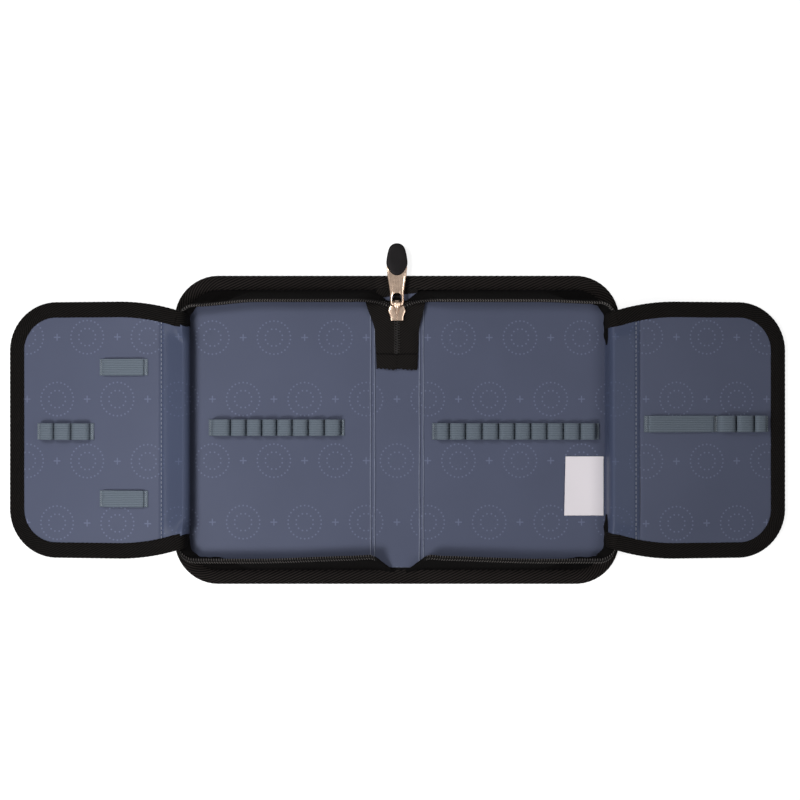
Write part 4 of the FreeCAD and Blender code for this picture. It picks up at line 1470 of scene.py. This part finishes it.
@dataclass
class SliderAndPull:
    """The zip's slider with its crown, and the pull with its rubber grip.

    A table holds places along a piece and the values there. A zone is a start and a reach.
    """

    plate_shares: Table = (
        (0.0, 0.02, 0.2, 0.36, 0.46, 0.56, 0.72, 0.86, 0.96, 1.0),
        (0.7, 0.75, 0.76, 0.9, 1.0, 0.97, 0.82, 0.66, 0.46, 0.3),
    )
    upper_half: float = 0.85
    lower_half: float = 0.65
    lower_middle: float = 0.7
    edge_fall: float = 0.25
    post_half: tuple[float, float] = (0.45, 1.8)
    post_x: float = 2.6
    post_inset: float = 2.9
    post_sunk: float = 0.9
    lip_half: tuple[float, float] = (0.4, 0.7)
    lip_inset: float = 0.45
    lip_start: float = 0.5
    lip_share: float = 0.52
    lip_below: float = 2.0
    lip_above: float = 1.5
    bridge_halves: Table = (
        (0.0, 0.25, 0.4, 0.55, 0.7, 0.9, 0.97, 1.0),
        (0.5, 0.5, 0.9, 1.5, 2.15, 2.6, 2.3, 1.5),
    )
    bridge_under: Table = (
        (0.0, 0.53, 0.61, 0.67, 0.83, 0.91, 1.0),
        (-0.5, -0.5, 1.2, 2.4, 2.4, 1.2, -0.5),
    )
    bridge_ends: tuple[float, float] = (0.4, 0.05)
    bridge_low: float = 0.35
    bridge_last: float = 1.6
    bridge_gap: float = 0.3
    bridge_rise: tuple[float, float] = (0.15, 0.62)
    bridge_fall: tuple[float, float] = (0.86, 0.14)
    bridge_shoulder: float = 0.4
    groove: float = 0.35
    groove_width: float = 0.4
    groove_start: tuple[float, float] = (0.3, 0.15)
    groove_stop: tuple[float, float] = (0.8, 0.1)
    slope: float = math.radians(3.0)
    tab_half: float = 0.8
    tab_start: float = -0.84
    tab_end: float = 28.0
    tab_stations: tuple[float, ...] = (9.0, 20.0, 27.0)
    tab_halves: tuple[float, ...] = (4.7, 4.75, 6.35, 7.0, 7.0)
    tab_rim: Table = (
        (0.0, 0.1, 0.3, 0.5, 0.6, 0.8, 0.92, 1.0),
        (0.35, 0.72, 0.55, 0.52, 0.58, 1.1, 0.8, 0.3),
    )
    tab_under: float = 0.7
    near_round: float = 2.2
    far_round: float = 3.0
    eye_middle: float = 4.45
    eye_half: tuple[float, float] = (3.15, 4.1)
    eye_powers: tuple[float, float] = (0.8, 0.5)
    grip_start: float = 20.0
    grip_end: float = 41.6
    grip_widest: float = 28.4
    grip_taper: float = 0.38
    grip_thick: float = 1.75
    grip_rise: float = 0.15
    dish_depth: float = 0.35
    dish_middle: float = 33.5
    dish_half: tuple[float, float] = (4.4, 5.0)

    def build(self) -> None:
        """Make the slider, its crown, the pull tab and the grip."""
        self.body()
        self.crown()
        self.tab()
        self.grip()

    def body(self) -> None:
        """Two plates, two posts and four lips: half width w(v), section a rounded box."""
        low, high = node_box("slider_body")
        length = high[1] - low[1]
        v = np.unique(np.concatenate([np.linspace(0.0, 1.0, 46), self.plate_shares[0]]))
        wide = soften(high[0] * np.interp(v, *self.plate_shares), 2)[:, None]
        ring = superellipse(5.0, 40)
        fall = np.where(ring[:, 1] > 0, 1 - self.edge_fall * np.abs(ring[:, 0]) ** 2.2, 1.0)
        upper = (high[2] - self.upper_half, self.upper_half)
        lower = (low[2] + self.lower_middle, self.lower_half)
        parts = []
        for middle, half in (upper, lower):
            section = np.broadcast_arrays(wide * ring[:, 0], half * ring[:, 1] * fall)
            centres = points(0.0, low[1] + v * length, middle)
            parts.append(rings(centres, X_AXIS, Z_AXIS, np.stack(section, -1)))
        z = np.linspace(low[2] + self.post_sunk, high[2] - self.post_sunk, 6)
        y = np.linspace(low[1] + self.lip_start, low[1] + self.lip_share * length, 16)
        lip = np.interp((y - low[1]) / length, *self.plate_shares) * high[0] - self.lip_inset
        for sign in (-1.0, 1.0):
            post = points(sign * self.post_x, high[1] - self.post_inset, z)
            parts.append(rings(post, X_AXIS, Y_AXIS, rounded_box(*self.post_half, 1.6, 20)))
            for height in (high[2] - self.lip_below, low[2] + self.lip_above):
                line = points(sign * lip, y, height)
                parts.append(rings(line, X_AXIS, Z_AXIS, rounded_box(*self.lip_half, 4.0, 16)))
        piece = make_piece("slider_plates", join(parts), METAL)
        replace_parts(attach(piece, "slider"), "slider_body")

    def crown(self) -> None:
        """A ridged bridge over the body: rings between an arched underside and a domed top."""
        low, high = node_box("slider_crown")
        first, last = node_box("slider_body")[:, 1]
        v = np.linspace(0.0, 1.0, 60)
        y = first + self.bridge_ends[0] + v * (last - first - sum(self.bridge_ends))
        wide = soften(np.interp(v, *self.bridge_halves), 3)
        top = high[2] - self.bridge_gap - low[2]
        rise = (top - self.bridge_low) * ramp(v, *self.bridge_rise)
        over = self.bridge_low + rise - (top - self.bridge_last) * ramp(v, *self.bridge_fall)
        under = np.interp(v, *self.bridge_under)
        ring = superellipse(2.6, 72)
        x = wide[:, None] * ring[:, 0]
        middle = low[2] + (over + under)[:, None] / 2
        z = middle + ((over - under) / 2)[:, None] * ring[:, 1]
        grooved = ramp(v, *self.groove_start) - ramp(v, *self.groove_stop)
        groove = self.groove * grooved[:, None] * hill(x, 0.0, self.groove_width)
        shoulder = self.bridge_shoulder * np.abs(ring[:, 0]) ** 1.6
        z = z - (ring[:, 1] > 0) * (groove + shoulder)
        piece = make_piece("slider_bridge", tube(points(x, y[:, None], z), y), METAL)
        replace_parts(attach(piece, "slider"), "slider_crown")

    def set_out(self, x: Array, v: Array, w: Array) -> Array:
        """Points of the pull: v away from the pivot down the slope, w square to the tab.

        Args:
            x: across the pull.
            v: along it from the pivot.
            w: above its middle.

        Returns:
            Points in the frame.
        """
        pivot = joint_place("pull_swing")
        c, s = math.cos(self.slope), math.sin(self.slope)
        return points(x, pivot[1] + v * c + w * s, pivot[2] - v * s + w * c)

    @staticmethod
    def drawn_in(share: Array) -> Array:
        """How far a nearly round corner has drawn in: 1 - sqrt(1 - 0.98 t^2)."""
        return 1 - np.sqrt(1 - share**2 * 0.98)

    def tab(self) -> None:
        """A plate from its eye to its outline, with a raised rim: eye + m (outline - eye)."""
        v = bunched(self.tab_start, self.tab_end, 70)
        half = np.interp(v, [self.tab_start, *self.tab_stations, self.tab_end], self.tab_halves)
        near = np.clip((self.tab_start + self.near_round - v) / self.near_round, 0.0, 1.0)
        far = np.clip((v - self.tab_end + self.far_round) / self.far_round, 0.0, 1.0)
        half = half - self.near_round * self.drawn_in(near) - self.far_round * self.drawn_in(far)
        outline = np.concatenate([np.stack([half, v], -1), np.stack([-half, v], -1)[::-1]])
        centre = np.array([0.0, self.eye_middle])
        aim = (outline - centre) / self.eye_half
        angle = np.arctan2(aim[:, 1], aim[:, 0])
        circle = np.stack([np.cos(angle), np.sin(angle)], -1)
        power = np.where(circle[:, 1:] > 0, *self.eye_powers)
        eye = centre + self.eye_half * np.sign(circle) * np.abs(circle) ** power
        m, rise = np.array(self.tab_rim)
        top = rise * self.tab_half
        spread = np.concatenate([m, m[::-1]])[None, :, None]
        height = np.concatenate([top, -np.minimum(top, self.tab_under * self.tab_half)[::-1]])
        flat = eye[:, None] * (1 - spread) + outline[:, None] * spread
        surface = self.set_out(flat[..., 0], flat[..., 1], height)
        surface = np.concatenate([surface, surface[:1]])
        patch = tube(surface, np.linspace(0.0, 1.0, len(surface)), caps=False)
        ends = len(outline) * surface.shape[1]
        patch.faces = np.where(patch.faces >= ends, patch.faces - ends, patch.faces)
        patch.points = patch.points[:ends]
        piece = make_piece("pull_plate", patch, METAL)
        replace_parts(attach(piece, "pull"), "pull_tab")

    def grip(self) -> None:
        """An egg-shaped grip: width and thickness fall off as ellipses from the widest place."""
        half = node_box("pull_grip")[1, 0]
        v = bunched(self.grip_start, self.grip_end, 64, 0.02)
        inner = np.clip((self.grip_widest - v) / (self.grip_widest - self.grip_start), 0.0, 1.0)
        outer = np.clip((v - self.grip_widest) / (self.grip_end - self.grip_widest), 0.0, 1.0)
        taper = 1 - self.grip_taper * outer**1.6
        wide = half * np.sqrt(1 - inner**1.6) * taper * np.sqrt(1 - outer**9)
        thick = self.grip_thick * (1 - inner**6) ** 0.5 * (1 - outer**5) ** 0.5
        ring = superellipse(2.8, 48)
        x, along = wide[:, None] * ring[:, 0], v[:, None]
        dish_x, dish_v = x / self.dish_half[0], (along - self.dish_middle) / self.dish_half[1]
        dish = self.dish_depth * np.exp(-(dish_v**4) - dish_x**4)
        w = thick[:, None] * ring[:, 1] + self.grip_rise - dish * (ring[:, 1] > 0)
        piece = make_piece("pull_rubber", tube(self.set_out(x, along, w), v), RUBBER)
        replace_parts(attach(piece, "pull"), "pull_grip")


@dataclass
class LoopRow:
    """A ribbon of elastic sewn down at seams and rising in an arch between each two."""

    node: str
    body: str
    seams: tuple[float, ...]
    middle: float
    rise: float
    place: Callable[[Array, Array, Array], Array]
    power: float = 3.2
    width: float = 10.8
    ribbon: float = 0.9
    foot: float = 0.55
    tail: tuple[float, float] = (2.2, 2.2)
    ribs: int = 9
    rib_height: float = 0.13
    rib_gap: float = 0.25
    tack_share: float = 0.45
    tack_sway: float = 0.45
    tack_rise: float = 0.1
    tack_radius: float = 0.2
    tack_steps: int = 17
    arch_steps: int = 28

    def path(self) -> tuple[Array, Array]:
        """Distance along the row and height of the ribbon's middle: arches |x|^n + |z|^n = 1.

        Returns:
            Both, in order along the ribbon.
        """
        angle = np.linspace(np.pi, 0.0, self.arch_steps)
        c, s = np.cos(angle), np.maximum(np.sin(angle), 0.0)
        seams = np.array(self.seams)
        reach = np.diff(seams)[:, None] / 2 - self.foot
        centre = (seams[1:] + seams[:-1])[:, None] / 2
        x = (centre + reach * np.sign(c) * np.abs(c) ** (2 / self.power)).ravel()
        h = np.tile((self.rise - self.ribbon) * s ** (2 / self.power), len(centre))
        x = np.concatenate([[seams[0] - self.tail[0]], x, [seams[-1] + self.tail[1]]])
        return x, np.concatenate([[0.0], h, [0.0]]) + self.ribbon / 2

    def build(self) -> None:
        """Make the ribbon, ribbed along its length, and the bar tacks at its two ends."""
        x, h = self.path()
        slope = unit(np.stack([np.gradient(x), np.gradient(h)], -1))
        v = np.linspace(-0.5, 0.5, self.ribs * 6 + 1)
        rib = self.rib_height * np.abs(np.cos(np.pi * self.ribs * (v + 0.5)))
        along = x[:, None] - slope[:, 1:] * rib
        tall = h[:, None] + slope[:, :1] * rib
        surface = self.place(along, self.middle + self.width * v, tall)
        ribbon = sheet(surface, self.ribbon - self.rib_gap)
        piece = make_piece(f"{self.node}_ribbon", ribbon, ELASTIC, sharp=60.0)
        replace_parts(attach(piece, self.body), self.node)
        sway = np.linspace(-self.tack_share, self.tack_share, self.tack_steps)
        shift = self.tack_sway * np.where(np.arange(self.tack_steps) % 2 == 0, -1.0, 1.0)
        ends = (self.seams[0] - self.tail[0] / 2, self.seams[-1] + self.tail[1] / 2)
        across, rise = self.middle + self.width * sway, self.ribbon + self.tack_rise
        lines = [self.place(end + shift, across, rise) for end in ends]
        tacks = join([thread(line, self.tack_radius) for line in lines])
        piece = make_piece(f"{self.node}_tacks", tacks, TACK)
        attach(piece, self.body)


@dataclass
class Flap:
    """One hinged flap: two linings on a board, bound edge, hinge strip and its seam."""

    side: Side
    sizes: CaseSizes
    slope: float = math.radians(8.83)
    length: float = 119.6
    half: float = 84.6
    corner: float = 32.0
    waist: float = 45.0
    waist_radius: float = 137.0
    middle: float = 2.0
    face: float = 3.2
    back: float = 0.8
    cloth: float = 0.4
    strip: float = 18.6
    strip_cloth: float = 0.7
    strip_lap: float = 0.3
    strip_inset: float = 6.4
    strip_draw: float = 2.4
    hump: float = 0.9
    hump_reach: float = 3.6
    ease: float = 1.5
    seam: float = 16.4
    seam_dent: float = 0.3
    seam_width: float = 0.7
    seam_inset: float = 9.5
    seam_sunk: float = 0.1
    roll: float = 0.0
    sag: float = 0.0
    foot_out: float = 1.8
    foot_rise: float = 0.1
    foot_bow: float = 0.5
    lining_inset: float = 3.0
    lining_lap: float = 0.9
    lining_tuck: float = 1.1
    wave: float = 0.1
    curl: float = 0.0
    curl_start: float = 100.0
    dive: tuple[Triple, ...] = ((0.5, 0.0, -9.0), (0.5, 0.0, -1.0), (1.2, 0.0, 2.0))
    dive_end: float = 7.0
    dive_swell: float = 0.35
    stitch_start: float = 9.0
    bend_near: tuple[float, float] = (-0.24, -0.8)
    bend_far: tuple[float, float] = (0.45, 1.5)

    def point(self, p: Array | float, y: Array | float, q: Array | float) -> Array:
        """Points of the flap: p out from the hinge down its slope, q square to its face.

        The tip is curled up by curl (p - curl_start)^2.

        Args:
            p: away from the hinge.
            y: along the hinge.
            q: above the hinge's plane.

        Returns:
            Points in the frame.
        """
        axis = np.abs(joint_place(f"{self.side.word}_flap_hinge"))
        c, s = math.cos(self.slope), math.sin(self.slope)
        q = q + self.curl * np.clip(p - self.curl_start, 0.0, None) ** 2
        return self.side.turn(points(axis[0] + p * c + q * s, y, axis[2] - p * s + q * c))

    def directions(self, vectors: Array) -> Array:
        """Directions in p, y and q, turned into the frame."""
        return self.point(*vectors.T) - self.point(0.0, 0.0, 0.0)

    def half_at(self, p: Array | float) -> Array:
        """Half height of the outline: straight, drawn in by an arc towards the hinge."""
        away = np.clip(self.waist - p, 0.0, None)
        return self.half - self.waist_radius + np.sqrt(self.waist_radius**2 - away**2)

    def outline(self) -> tuple[Array, Array]:
        """The bound edge's middle line and its inward directions, in p, y and q.

        The ends go on round the hinge and down into the case along a curve in p and q.

        Returns:
            Points and unit directions, from the upper end round the tip to the lower.
        """
        dive = bezier([*self.dive, (self.dive_end, 0.0, self.middle)], 60)[:-1]
        bend, low = self.length - self.corner, self.half - self.corner
        run = np.linspace(self.dive_end, bend, 200, endpoint=False)
        p = np.concatenate([dive[:, 0], run])
        q = np.concatenate([dive[:, 2], np.full(len(run), self.middle)])
        upper = points(p, self.half_at(p), q)
        angle = np.linspace(np.pi / 2, 0.0, 140)
        x, y = bend + self.corner * np.cos(angle), low + self.corner * np.sin(angle)
        turn = points(x, y, self.middle)
        edge = points(self.length, np.linspace(low, 0.0, 121)[1:], self.middle)
        quarter = np.concatenate([upper, turn, edge])
        path = np.concatenate([quarter, (quarter * [1.0, -1.0, 1.0])[-2::-1]])
        ahead = np.gradient(path * [1.0, 1.0, 0.0], axis=0)
        inward = unit(points(ahead[:, 1], -ahead[:, 0], 0.0))
        sunk = path[:, 2:] < self.middle - 0.4
        return path, np.where(sunk, -np.sign(path[:, 1:2]) * Y_AXIS, inward)

    def bend(self, piece: bpy.types.Object) -> None:
        """Work out two places close about the hinge, which nothing uses, and set a piece's
        placement into its mesh.
        """
        ends = (self.bend_near, self.bend_far)
        near, far = [self.point(p, 0.0, q) * MM for p, q in ends]
        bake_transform(piece)

    def build(self) -> None:
        """Make the flap's cloth pieces."""
        self.linings()
        self.binding()
        self.hinge_strip()

    def linings(self) -> None:
        """Inner and outer lining: y = v * h(p), with quarter circles at the tip's corners."""
        word = self.side.word
        radius = self.corner - self.lining_inset
        bend = self.length - self.corner
        angle = np.linspace(0.0, np.pi / 2, 24)
        run = np.linspace(self.strip - self.lining_lap, bend, 60, endpoint=False)
        p = np.concatenate([run, bend + radius * np.sin(angle)])
        drop = np.concatenate([np.zeros(len(run)), radius * (1 - np.cos(angle))])
        tall = self.half_at(p) - self.lining_inset - drop
        y, p = tall[:, None] * np.linspace(-1.0, 1.0, 100), p[:, None]
        slow = np.sin(p / 15 + 0.7 * self.side.value) * np.sin(y / 21)
        slow = slow + 0.6 * np.sin(p / 11 + y / 14)
        tuck = -self.lining_tuck * (1 - ramp(p, self.strip - 0.5, 1.1))
        face = self.point(p, y, self.face - self.cloth / 2 + self.wave * slow + tuck)
        piece = make_piece(f"{word}_flap_face_cloth", sheet(face, self.cloth), LINING)
        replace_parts(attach(piece, f"{word}_flap"), f"{word}_flap_inner_lining")
        back = self.point(p, y, self.back + self.cloth / 2)
        piece = make_piece(f"{word}_flap_back_cloth", sheet(back, self.cloth), LINING)
        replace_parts(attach(piece, f"{word}_flap"), f"{word}_flap_outer_lining")

    def binding(self) -> None:
        """The bound edge, thinner where it dives into the case, and its stitches."""
        word = self.side.word
        path, inward = self.outline()
        ahead = unit(np.gradient(path, axis=0))
        inward = unit(inward - ahead * np.sum(inward * ahead, -1, keepdims=True))
        up = np.cross(ahead, inward)
        up = up * np.sign(up[len(up) // 2, 2])
        swell = self.dive_swell + (1 - self.dive_swell) * ramp(path[:, 2], -3.0, 5.0)
        edge = self.point(*path.T)
        inward, up = self.directions(inward), self.directions(up)
        tape = FLAP_BINDING.patch(edge, inward, up, -self.side.value, swell)
        piece = make_piece(f"{word}_flap_binding_tape", tape, FLAP_TWILL)
        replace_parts(piece, f"{word}_flap_binding")
        self.bend(piece)
        keep = path[:, 0] > self.stitch_start
        stitches = FLAP_BINDING.seam(edge[keep], inward[keep], up[keep])
        piece = make_piece(f"{word}_flap_binding_stitches", stitches, BLACK_THREAD)
        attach(piece, f"{word}_flap")

    def hinge_path(self) -> tuple[Array, Array]:
        """The strip's line in p and q: over a soft hump, sagging if it is loose, round the hinge.

        Returns:
            The line, and how far each of its points stands over the flat face.
        """
        out = np.linspace(self.strip - self.strip_lap, self.roll + 3.0, 50, endpoint=False)
        fall = (self.strip - self.hump_reach - out).clip(0.0)
        loose = self.sag * (fall - self.ease * (1 - np.exp(-fall / self.ease)))
        rise = self.hump * smooth((self.strip - out) / self.hump_reach) - loose
        dent = -self.seam_dent * hill(out, self.seam, self.seam_width)
        base = self.face - self.strip_cloth / 2
        last, edge, dip = base + rise[-1], self.roll, self.sag
        controls = [
            (edge + 2.9, last, 0.0),
            (edge + 1.3 + 1.7 * dip, last - 1.4 * dip, 0.0),
            (edge + 0.1 + 1.1 * dip, 0.5 * last - 0.5 - 4 * dip, 0.0),
            (edge, -2.4 - 4.4 * dip, 0.0),
        ]
        round_hinge = bezier(controls, 30)[:, :2]
        path = np.concatenate([np.stack([out, base + rise + dent], -1), round_hinge])
        return path, np.concatenate([rise, rise[-1] * np.linspace(1.0, 0.0, 30)])

    def hinge_strip(self) -> None:
        """Coated strip from the flap's seam over the hinge and down to the bed, and its seam."""
        word = self.side.word
        path, rise = self.hinge_path()
        p = path[:, 0]
        drawn = self.strip_inset + self.strip_draw * smooth((6.0 - p) / 5.0)
        half = self.half_at(np.clip(p, 0.0, None)) - drawn
        v = np.linspace(-1.0, 1.0, 90)
        settle = rise[:, None] * (1 - smooth((1 - np.abs(v)) * 8.0 - 0.4))
        top = self.point(p[:, None], half[:, None] * v, path[:, 1:] - settle)
        low, high = node_box(f"{word}_hinge_tape")
        drop = np.linspace(0.0, 1.0, 26)[1:, None, None]
        x = self.side.value * (np.min(np.abs([low[0], high[0]])) + self.foot_out)
        foot = points(x, v * high[1], self.sizes.floor + self.foot_rise)
        bow = self.side.value * self.foot_bow * np.sin(np.pi * drop) * X_AXIS
        down = top[-1] * (1 - drop) + foot * drop + bow
        strip = sheet(np.concatenate([top, down]), self.strip_cloth)
        piece = make_piece(f"{word}_hinge_strip_cloth", strip, STRIP)
        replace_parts(piece, f"{word}_flap_hinge_strip", f"{word}_hinge_tape")
        self.bend(piece)
        reach = self.half_at(self.seam) - self.seam_inset
        run = np.linspace(-reach, reach, 120)
        hump = self.hump * smooth((self.strip - self.seam) / self.hump_reach)
        line = self.point(self.seam, run, self.face + hump - self.seam_sunk)
        stitches = STRIP_STITCH.row(line, steady(self.directions(Z_AXIS), len(line)))
        piece = make_piece(f"{word}_hinge_strip_stitches", stitches, SEAM)
        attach(piece, f"{word}_flap")


@dataclass
class CareLabel:
    """A bare satin ribbon sewn in under the right hinge strip, its free end lifted a little."""

    thickness: float = 0.22
    rest: float = 0.35
    lift: float = 0.7
    ripple: float = 0.12
    skew: float = 0.9
    tuck: float = 1.2

    def build(self) -> None:
        """Make the label as a laid sheet: z rises to the free edge and waves a little along it."""
        low, high = node_box("care_label")
        u = np.linspace(0.0, 1.0, 40)[:, None]
        v = np.linspace(0.0, 1.0, 50)[None, :]
        x = low[0] + (high[0] - low[0] + self.tuck) * u - self.skew * (1 - v) * (1 - u)
        y = low[1] + (high[1] - low[1]) * v
        curl = self.lift * (1 - u) ** 3 + self.ripple * np.sin(5.0 * u + 6.0 * v) * (1 - u)
        surface = points(x, y, low[2] + self.rest + curl)
        piece = make_piece("care_label_ribbon", sheet(surface, self.thickness), RIBBON)
        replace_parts(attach(piece, "right_half"), "care_label")


def elastic_rows(sizes: CaseSizes, left: Flap, right: Flap) -> list[LoopRow]:
    """The rows of loops on both beds and both flaps.

    Args:
        sizes: the case's sizes.
        left: the left flap.
        right: the right flap.

    Returns:
        The rows, not built yet.
    """

    def on_bed(x: Array, y: Array, h: Array) -> Array:
        """A place on the bed's lining."""
        return points(x, y, sizes.floor + h)

    def on_flap(flap: Flap) -> Callable[[Array, Array, Array], Array]:
        """Places on a flap's inner face."""
        return lambda p, y, h: flap.point(p, y, flap.face + h)

    on_left, on_right = on_flap(left), on_flap(right)
    tall, low, square = 5.9, 2.6, 7.0
    left_bed = (-123.2, -110.7, -100.2, -89.8, -79.9, -69.6, -58.9, -48.2, -37.2)
    right_bed = (25.6, 34.9, 45.7, 56.7, 67.7, 78.4, 89.1, 99.8, 110.7, 121.8, 132.4)
    left_three, right_three = (63.4, 76.3, 88.1, 98.0), (72.6, 85.4, 97.8, 106.6)
    left_one, right_one = (26.6, 55.0), (25.8, 70.9)
    long_tail, short_tail = (2.8, 0.6), (0.6, 1.6)
    return [
        LoopRow("left_pen_loops", "left_half", left_bed, 1.5, tall, on_bed),
        LoopRow("right_pen_loops", "right_half", right_bed, -1.0, tall, on_bed),
        LoopRow("left_flap_triple_loop", "left_flap", left_three, -1.0, tall, on_left),
        LoopRow("left_flap_upper_loop", "left_flap", left_one, 41.5, low, on_left, square),
        LoopRow("left_flap_lower_loop", "left_flap", left_one, -45.2, low, on_left, square),
        LoopRow(
            "right_flap_long_loop", "right_flap", right_one, 4.1, low, on_right, square,
            tail=long_tail,
        ),
        LoopRow(
            "right_flap_triple_loop", "right_flap", right_three, 4.1, tall, on_right,
            tail=short_tail,
        ),
    ]


@dataclass
class Studio:
    """Pale floor, soft light that is stronger from the left, and a camera straight above."""

    camera_height: float = 1.2
    camera_x: float = 0.00204
    camera_y: float = 0.0199
    lens: float = 80.84
    floor_reach: float = 3.0
    sky: float = 0.035
    dim_above: float = 0.45

    def build(self) -> None:
        """Set up floor, world, lamps and camera."""
        self.floor()
        self.world()
        self.lamp("back_softbox", (-0.3, 0.24, 0.56), 0.2, 2.0)
        self.lamp("front_softbox", (-0.3, -0.24, 0.56), 0.2, 3.0)
        self.lamp("right_fill", (0.35, 0.0, 0.5), 0.25, 0.85)
        self.camera()
        bpy.context.scene.view_settings.view_transform = "Standard"

    @staticmethod
    def seen(nodes: Nodes) -> Socket:
        """One for rays from the camera, mirrors and glass."""
        path = nodes.add("LightPath").outputs
        either = nodes.math("MAXIMUM", path["Is Camera Ray"], path["Is Glossy Ray"])
        return nodes.math("MAXIMUM", either, path["Is Transmission Ray"])

    def floor(self) -> None:
        """A plain pale floor that reads as white and keeps a soft shadow."""
        low, high = -self.floor_reach, self.floor_reach
        corners = [(low, low, 0.0), (high, low, 0.0), (high, high, 0.0), (low, high, 0.0)]
        mesh = bpy.data.meshes.new("floor")
        mesh.from_pydata(corners, [], [(0, 1, 2, 3)])
        material = bpy.data.materials.new("pale_floor")
        material.use_nodes = True
        nodes = Nodes(material.node_tree)
        plain = nodes.add("BsdfDiffuse", {"Color": (0.82, 0.82, 0.82, 1.0)}).outputs[0]
        shaded = nodes.add("BsdfDiffuse", {"Color": (0.34, 0.34, 0.34, 1.0)}).outputs[0]
        glow = nodes.add("Emission", {"Color": (1.0, 1.0, 1.0, 1.0), "Strength": 0.84}).outputs[0]
        pale = nodes.add("AddShader", {0: shaded, 1: glow}).outputs[0]
        surface = nodes.add("MixShader", {0: self.seen(nodes), 1: plain, 2: pale}).outputs[0]
        nodes.add("OutputMaterial", {"Surface": surface})
        mesh.materials.append(material)
        floor = bpy.data.objects.new("floor", mesh)
        bpy.context.scene.collection.objects.link(floor)

    def world(self) -> None:
        """White where it is seen, dimmer straight above, and a plain even sky where it lights."""
        world = bpy.data.worlds.new("studio")
        bpy.context.scene.world = world
        world.use_nodes = True
        nodes = Nodes(world.node_tree)
        height = nodes.add("SeparateXYZ", {0: nodes.place("Generated")}).outputs[2]
        above = nodes.math("POWER", nodes.math("MAXIMUM", height, 0.0), 2.0)
        white = nodes.math("MULTIPLY_ADD", above, -self.dim_above, 1.0 - self.sky)
        strength = nodes.math("MULTIPLY_ADD", self.seen(nodes), white, self.sky)
        light = nodes.add("Background", {"Color": (1.0, 1.0, 1.0, 1.0), "Strength": strength})
        nodes.add("OutputWorld", {"Surface": light.outputs[0]})

    @staticmethod
    def lamp(name: str, place: tuple[float, float, float], size: float, power: float) -> None:
        """A square softbox that faces the case.

        Args:
            name: the lamp's name.
            place: where it hangs, in metres.
            size: its side, in metres.
            power: its power in watts.
        """
        data = bpy.data.lights.new(name, "AREA")
        data.size = size
        data.energy = power
        lamp = bpy.data.objects.new(name, data)
        lamp.location = place
        lamp.rotation_euler = (-lamp.location).to_track_quat("-Z", "Y").to_euler()
        bpy.context.scene.collection.objects.link(lamp)

    def camera(self) -> None:
        """A camera straight above, looking down, with +Y up in the picture."""
        data = bpy.data.cameras.new("camera")
        data.lens = self.lens
        camera = bpy.data.objects.new("camera", data)
        camera.location = (self.camera_x, self.camera_y, self.camera_height)
        bpy.context.scene.collection.objects.link(camera)
        bpy.context.scene.camera = camera


def clear_start() -> None:
    """Take away whatever the empty scene began with, and keep the frame."""
    keep = set(frame["nodes"].values()) | set(frame["bodies"].values())
    for thing in [thing for thing in bpy.data.objects if thing not in keep]:
        bpy.data.objects.remove(thing)


def dress_boards() -> None:
    """Give the stiffener boards, which stay as the frame has them, their finish."""
    for name, node in frame["nodes"].items():
        if name.endswith("board"):
            node.data.materials.clear()
            node.data.materials.append(BOARD.material())
            LOG.info("%s: dressed", name)


def main() -> None:
    """Build every sub-assembly around the frame, then the studio."""
    logging.basicConfig(level=logging.INFO, format="%(name)s: %(message)s")
    clear_start()
    sizes = CaseSizes.from_frame()
    Shell(sizes).build()
    zip_run = ZipRun(sizes)
    for side in Side:
        zip_run.build(side)
    ZipTail(sizes).build()
    SliderAndPull().build()
    left = Flap(Side.LEFT, sizes, strip=16.7, seam=15.3, roll=-1.5, sag=0.36)
    right = Flap(Side.RIGHT, sizes, length=120.3, strip=20.6, seam=17.6, roll=0.9, curl=0.001)
    for flap in (left, right):
        flap.build()
    for row in elastic_rows(sizes, left, right):
        row.build()
    CareLabel().build()
    dress_boards()
    Studio().build()


if __name__ == "__main__":
    main()
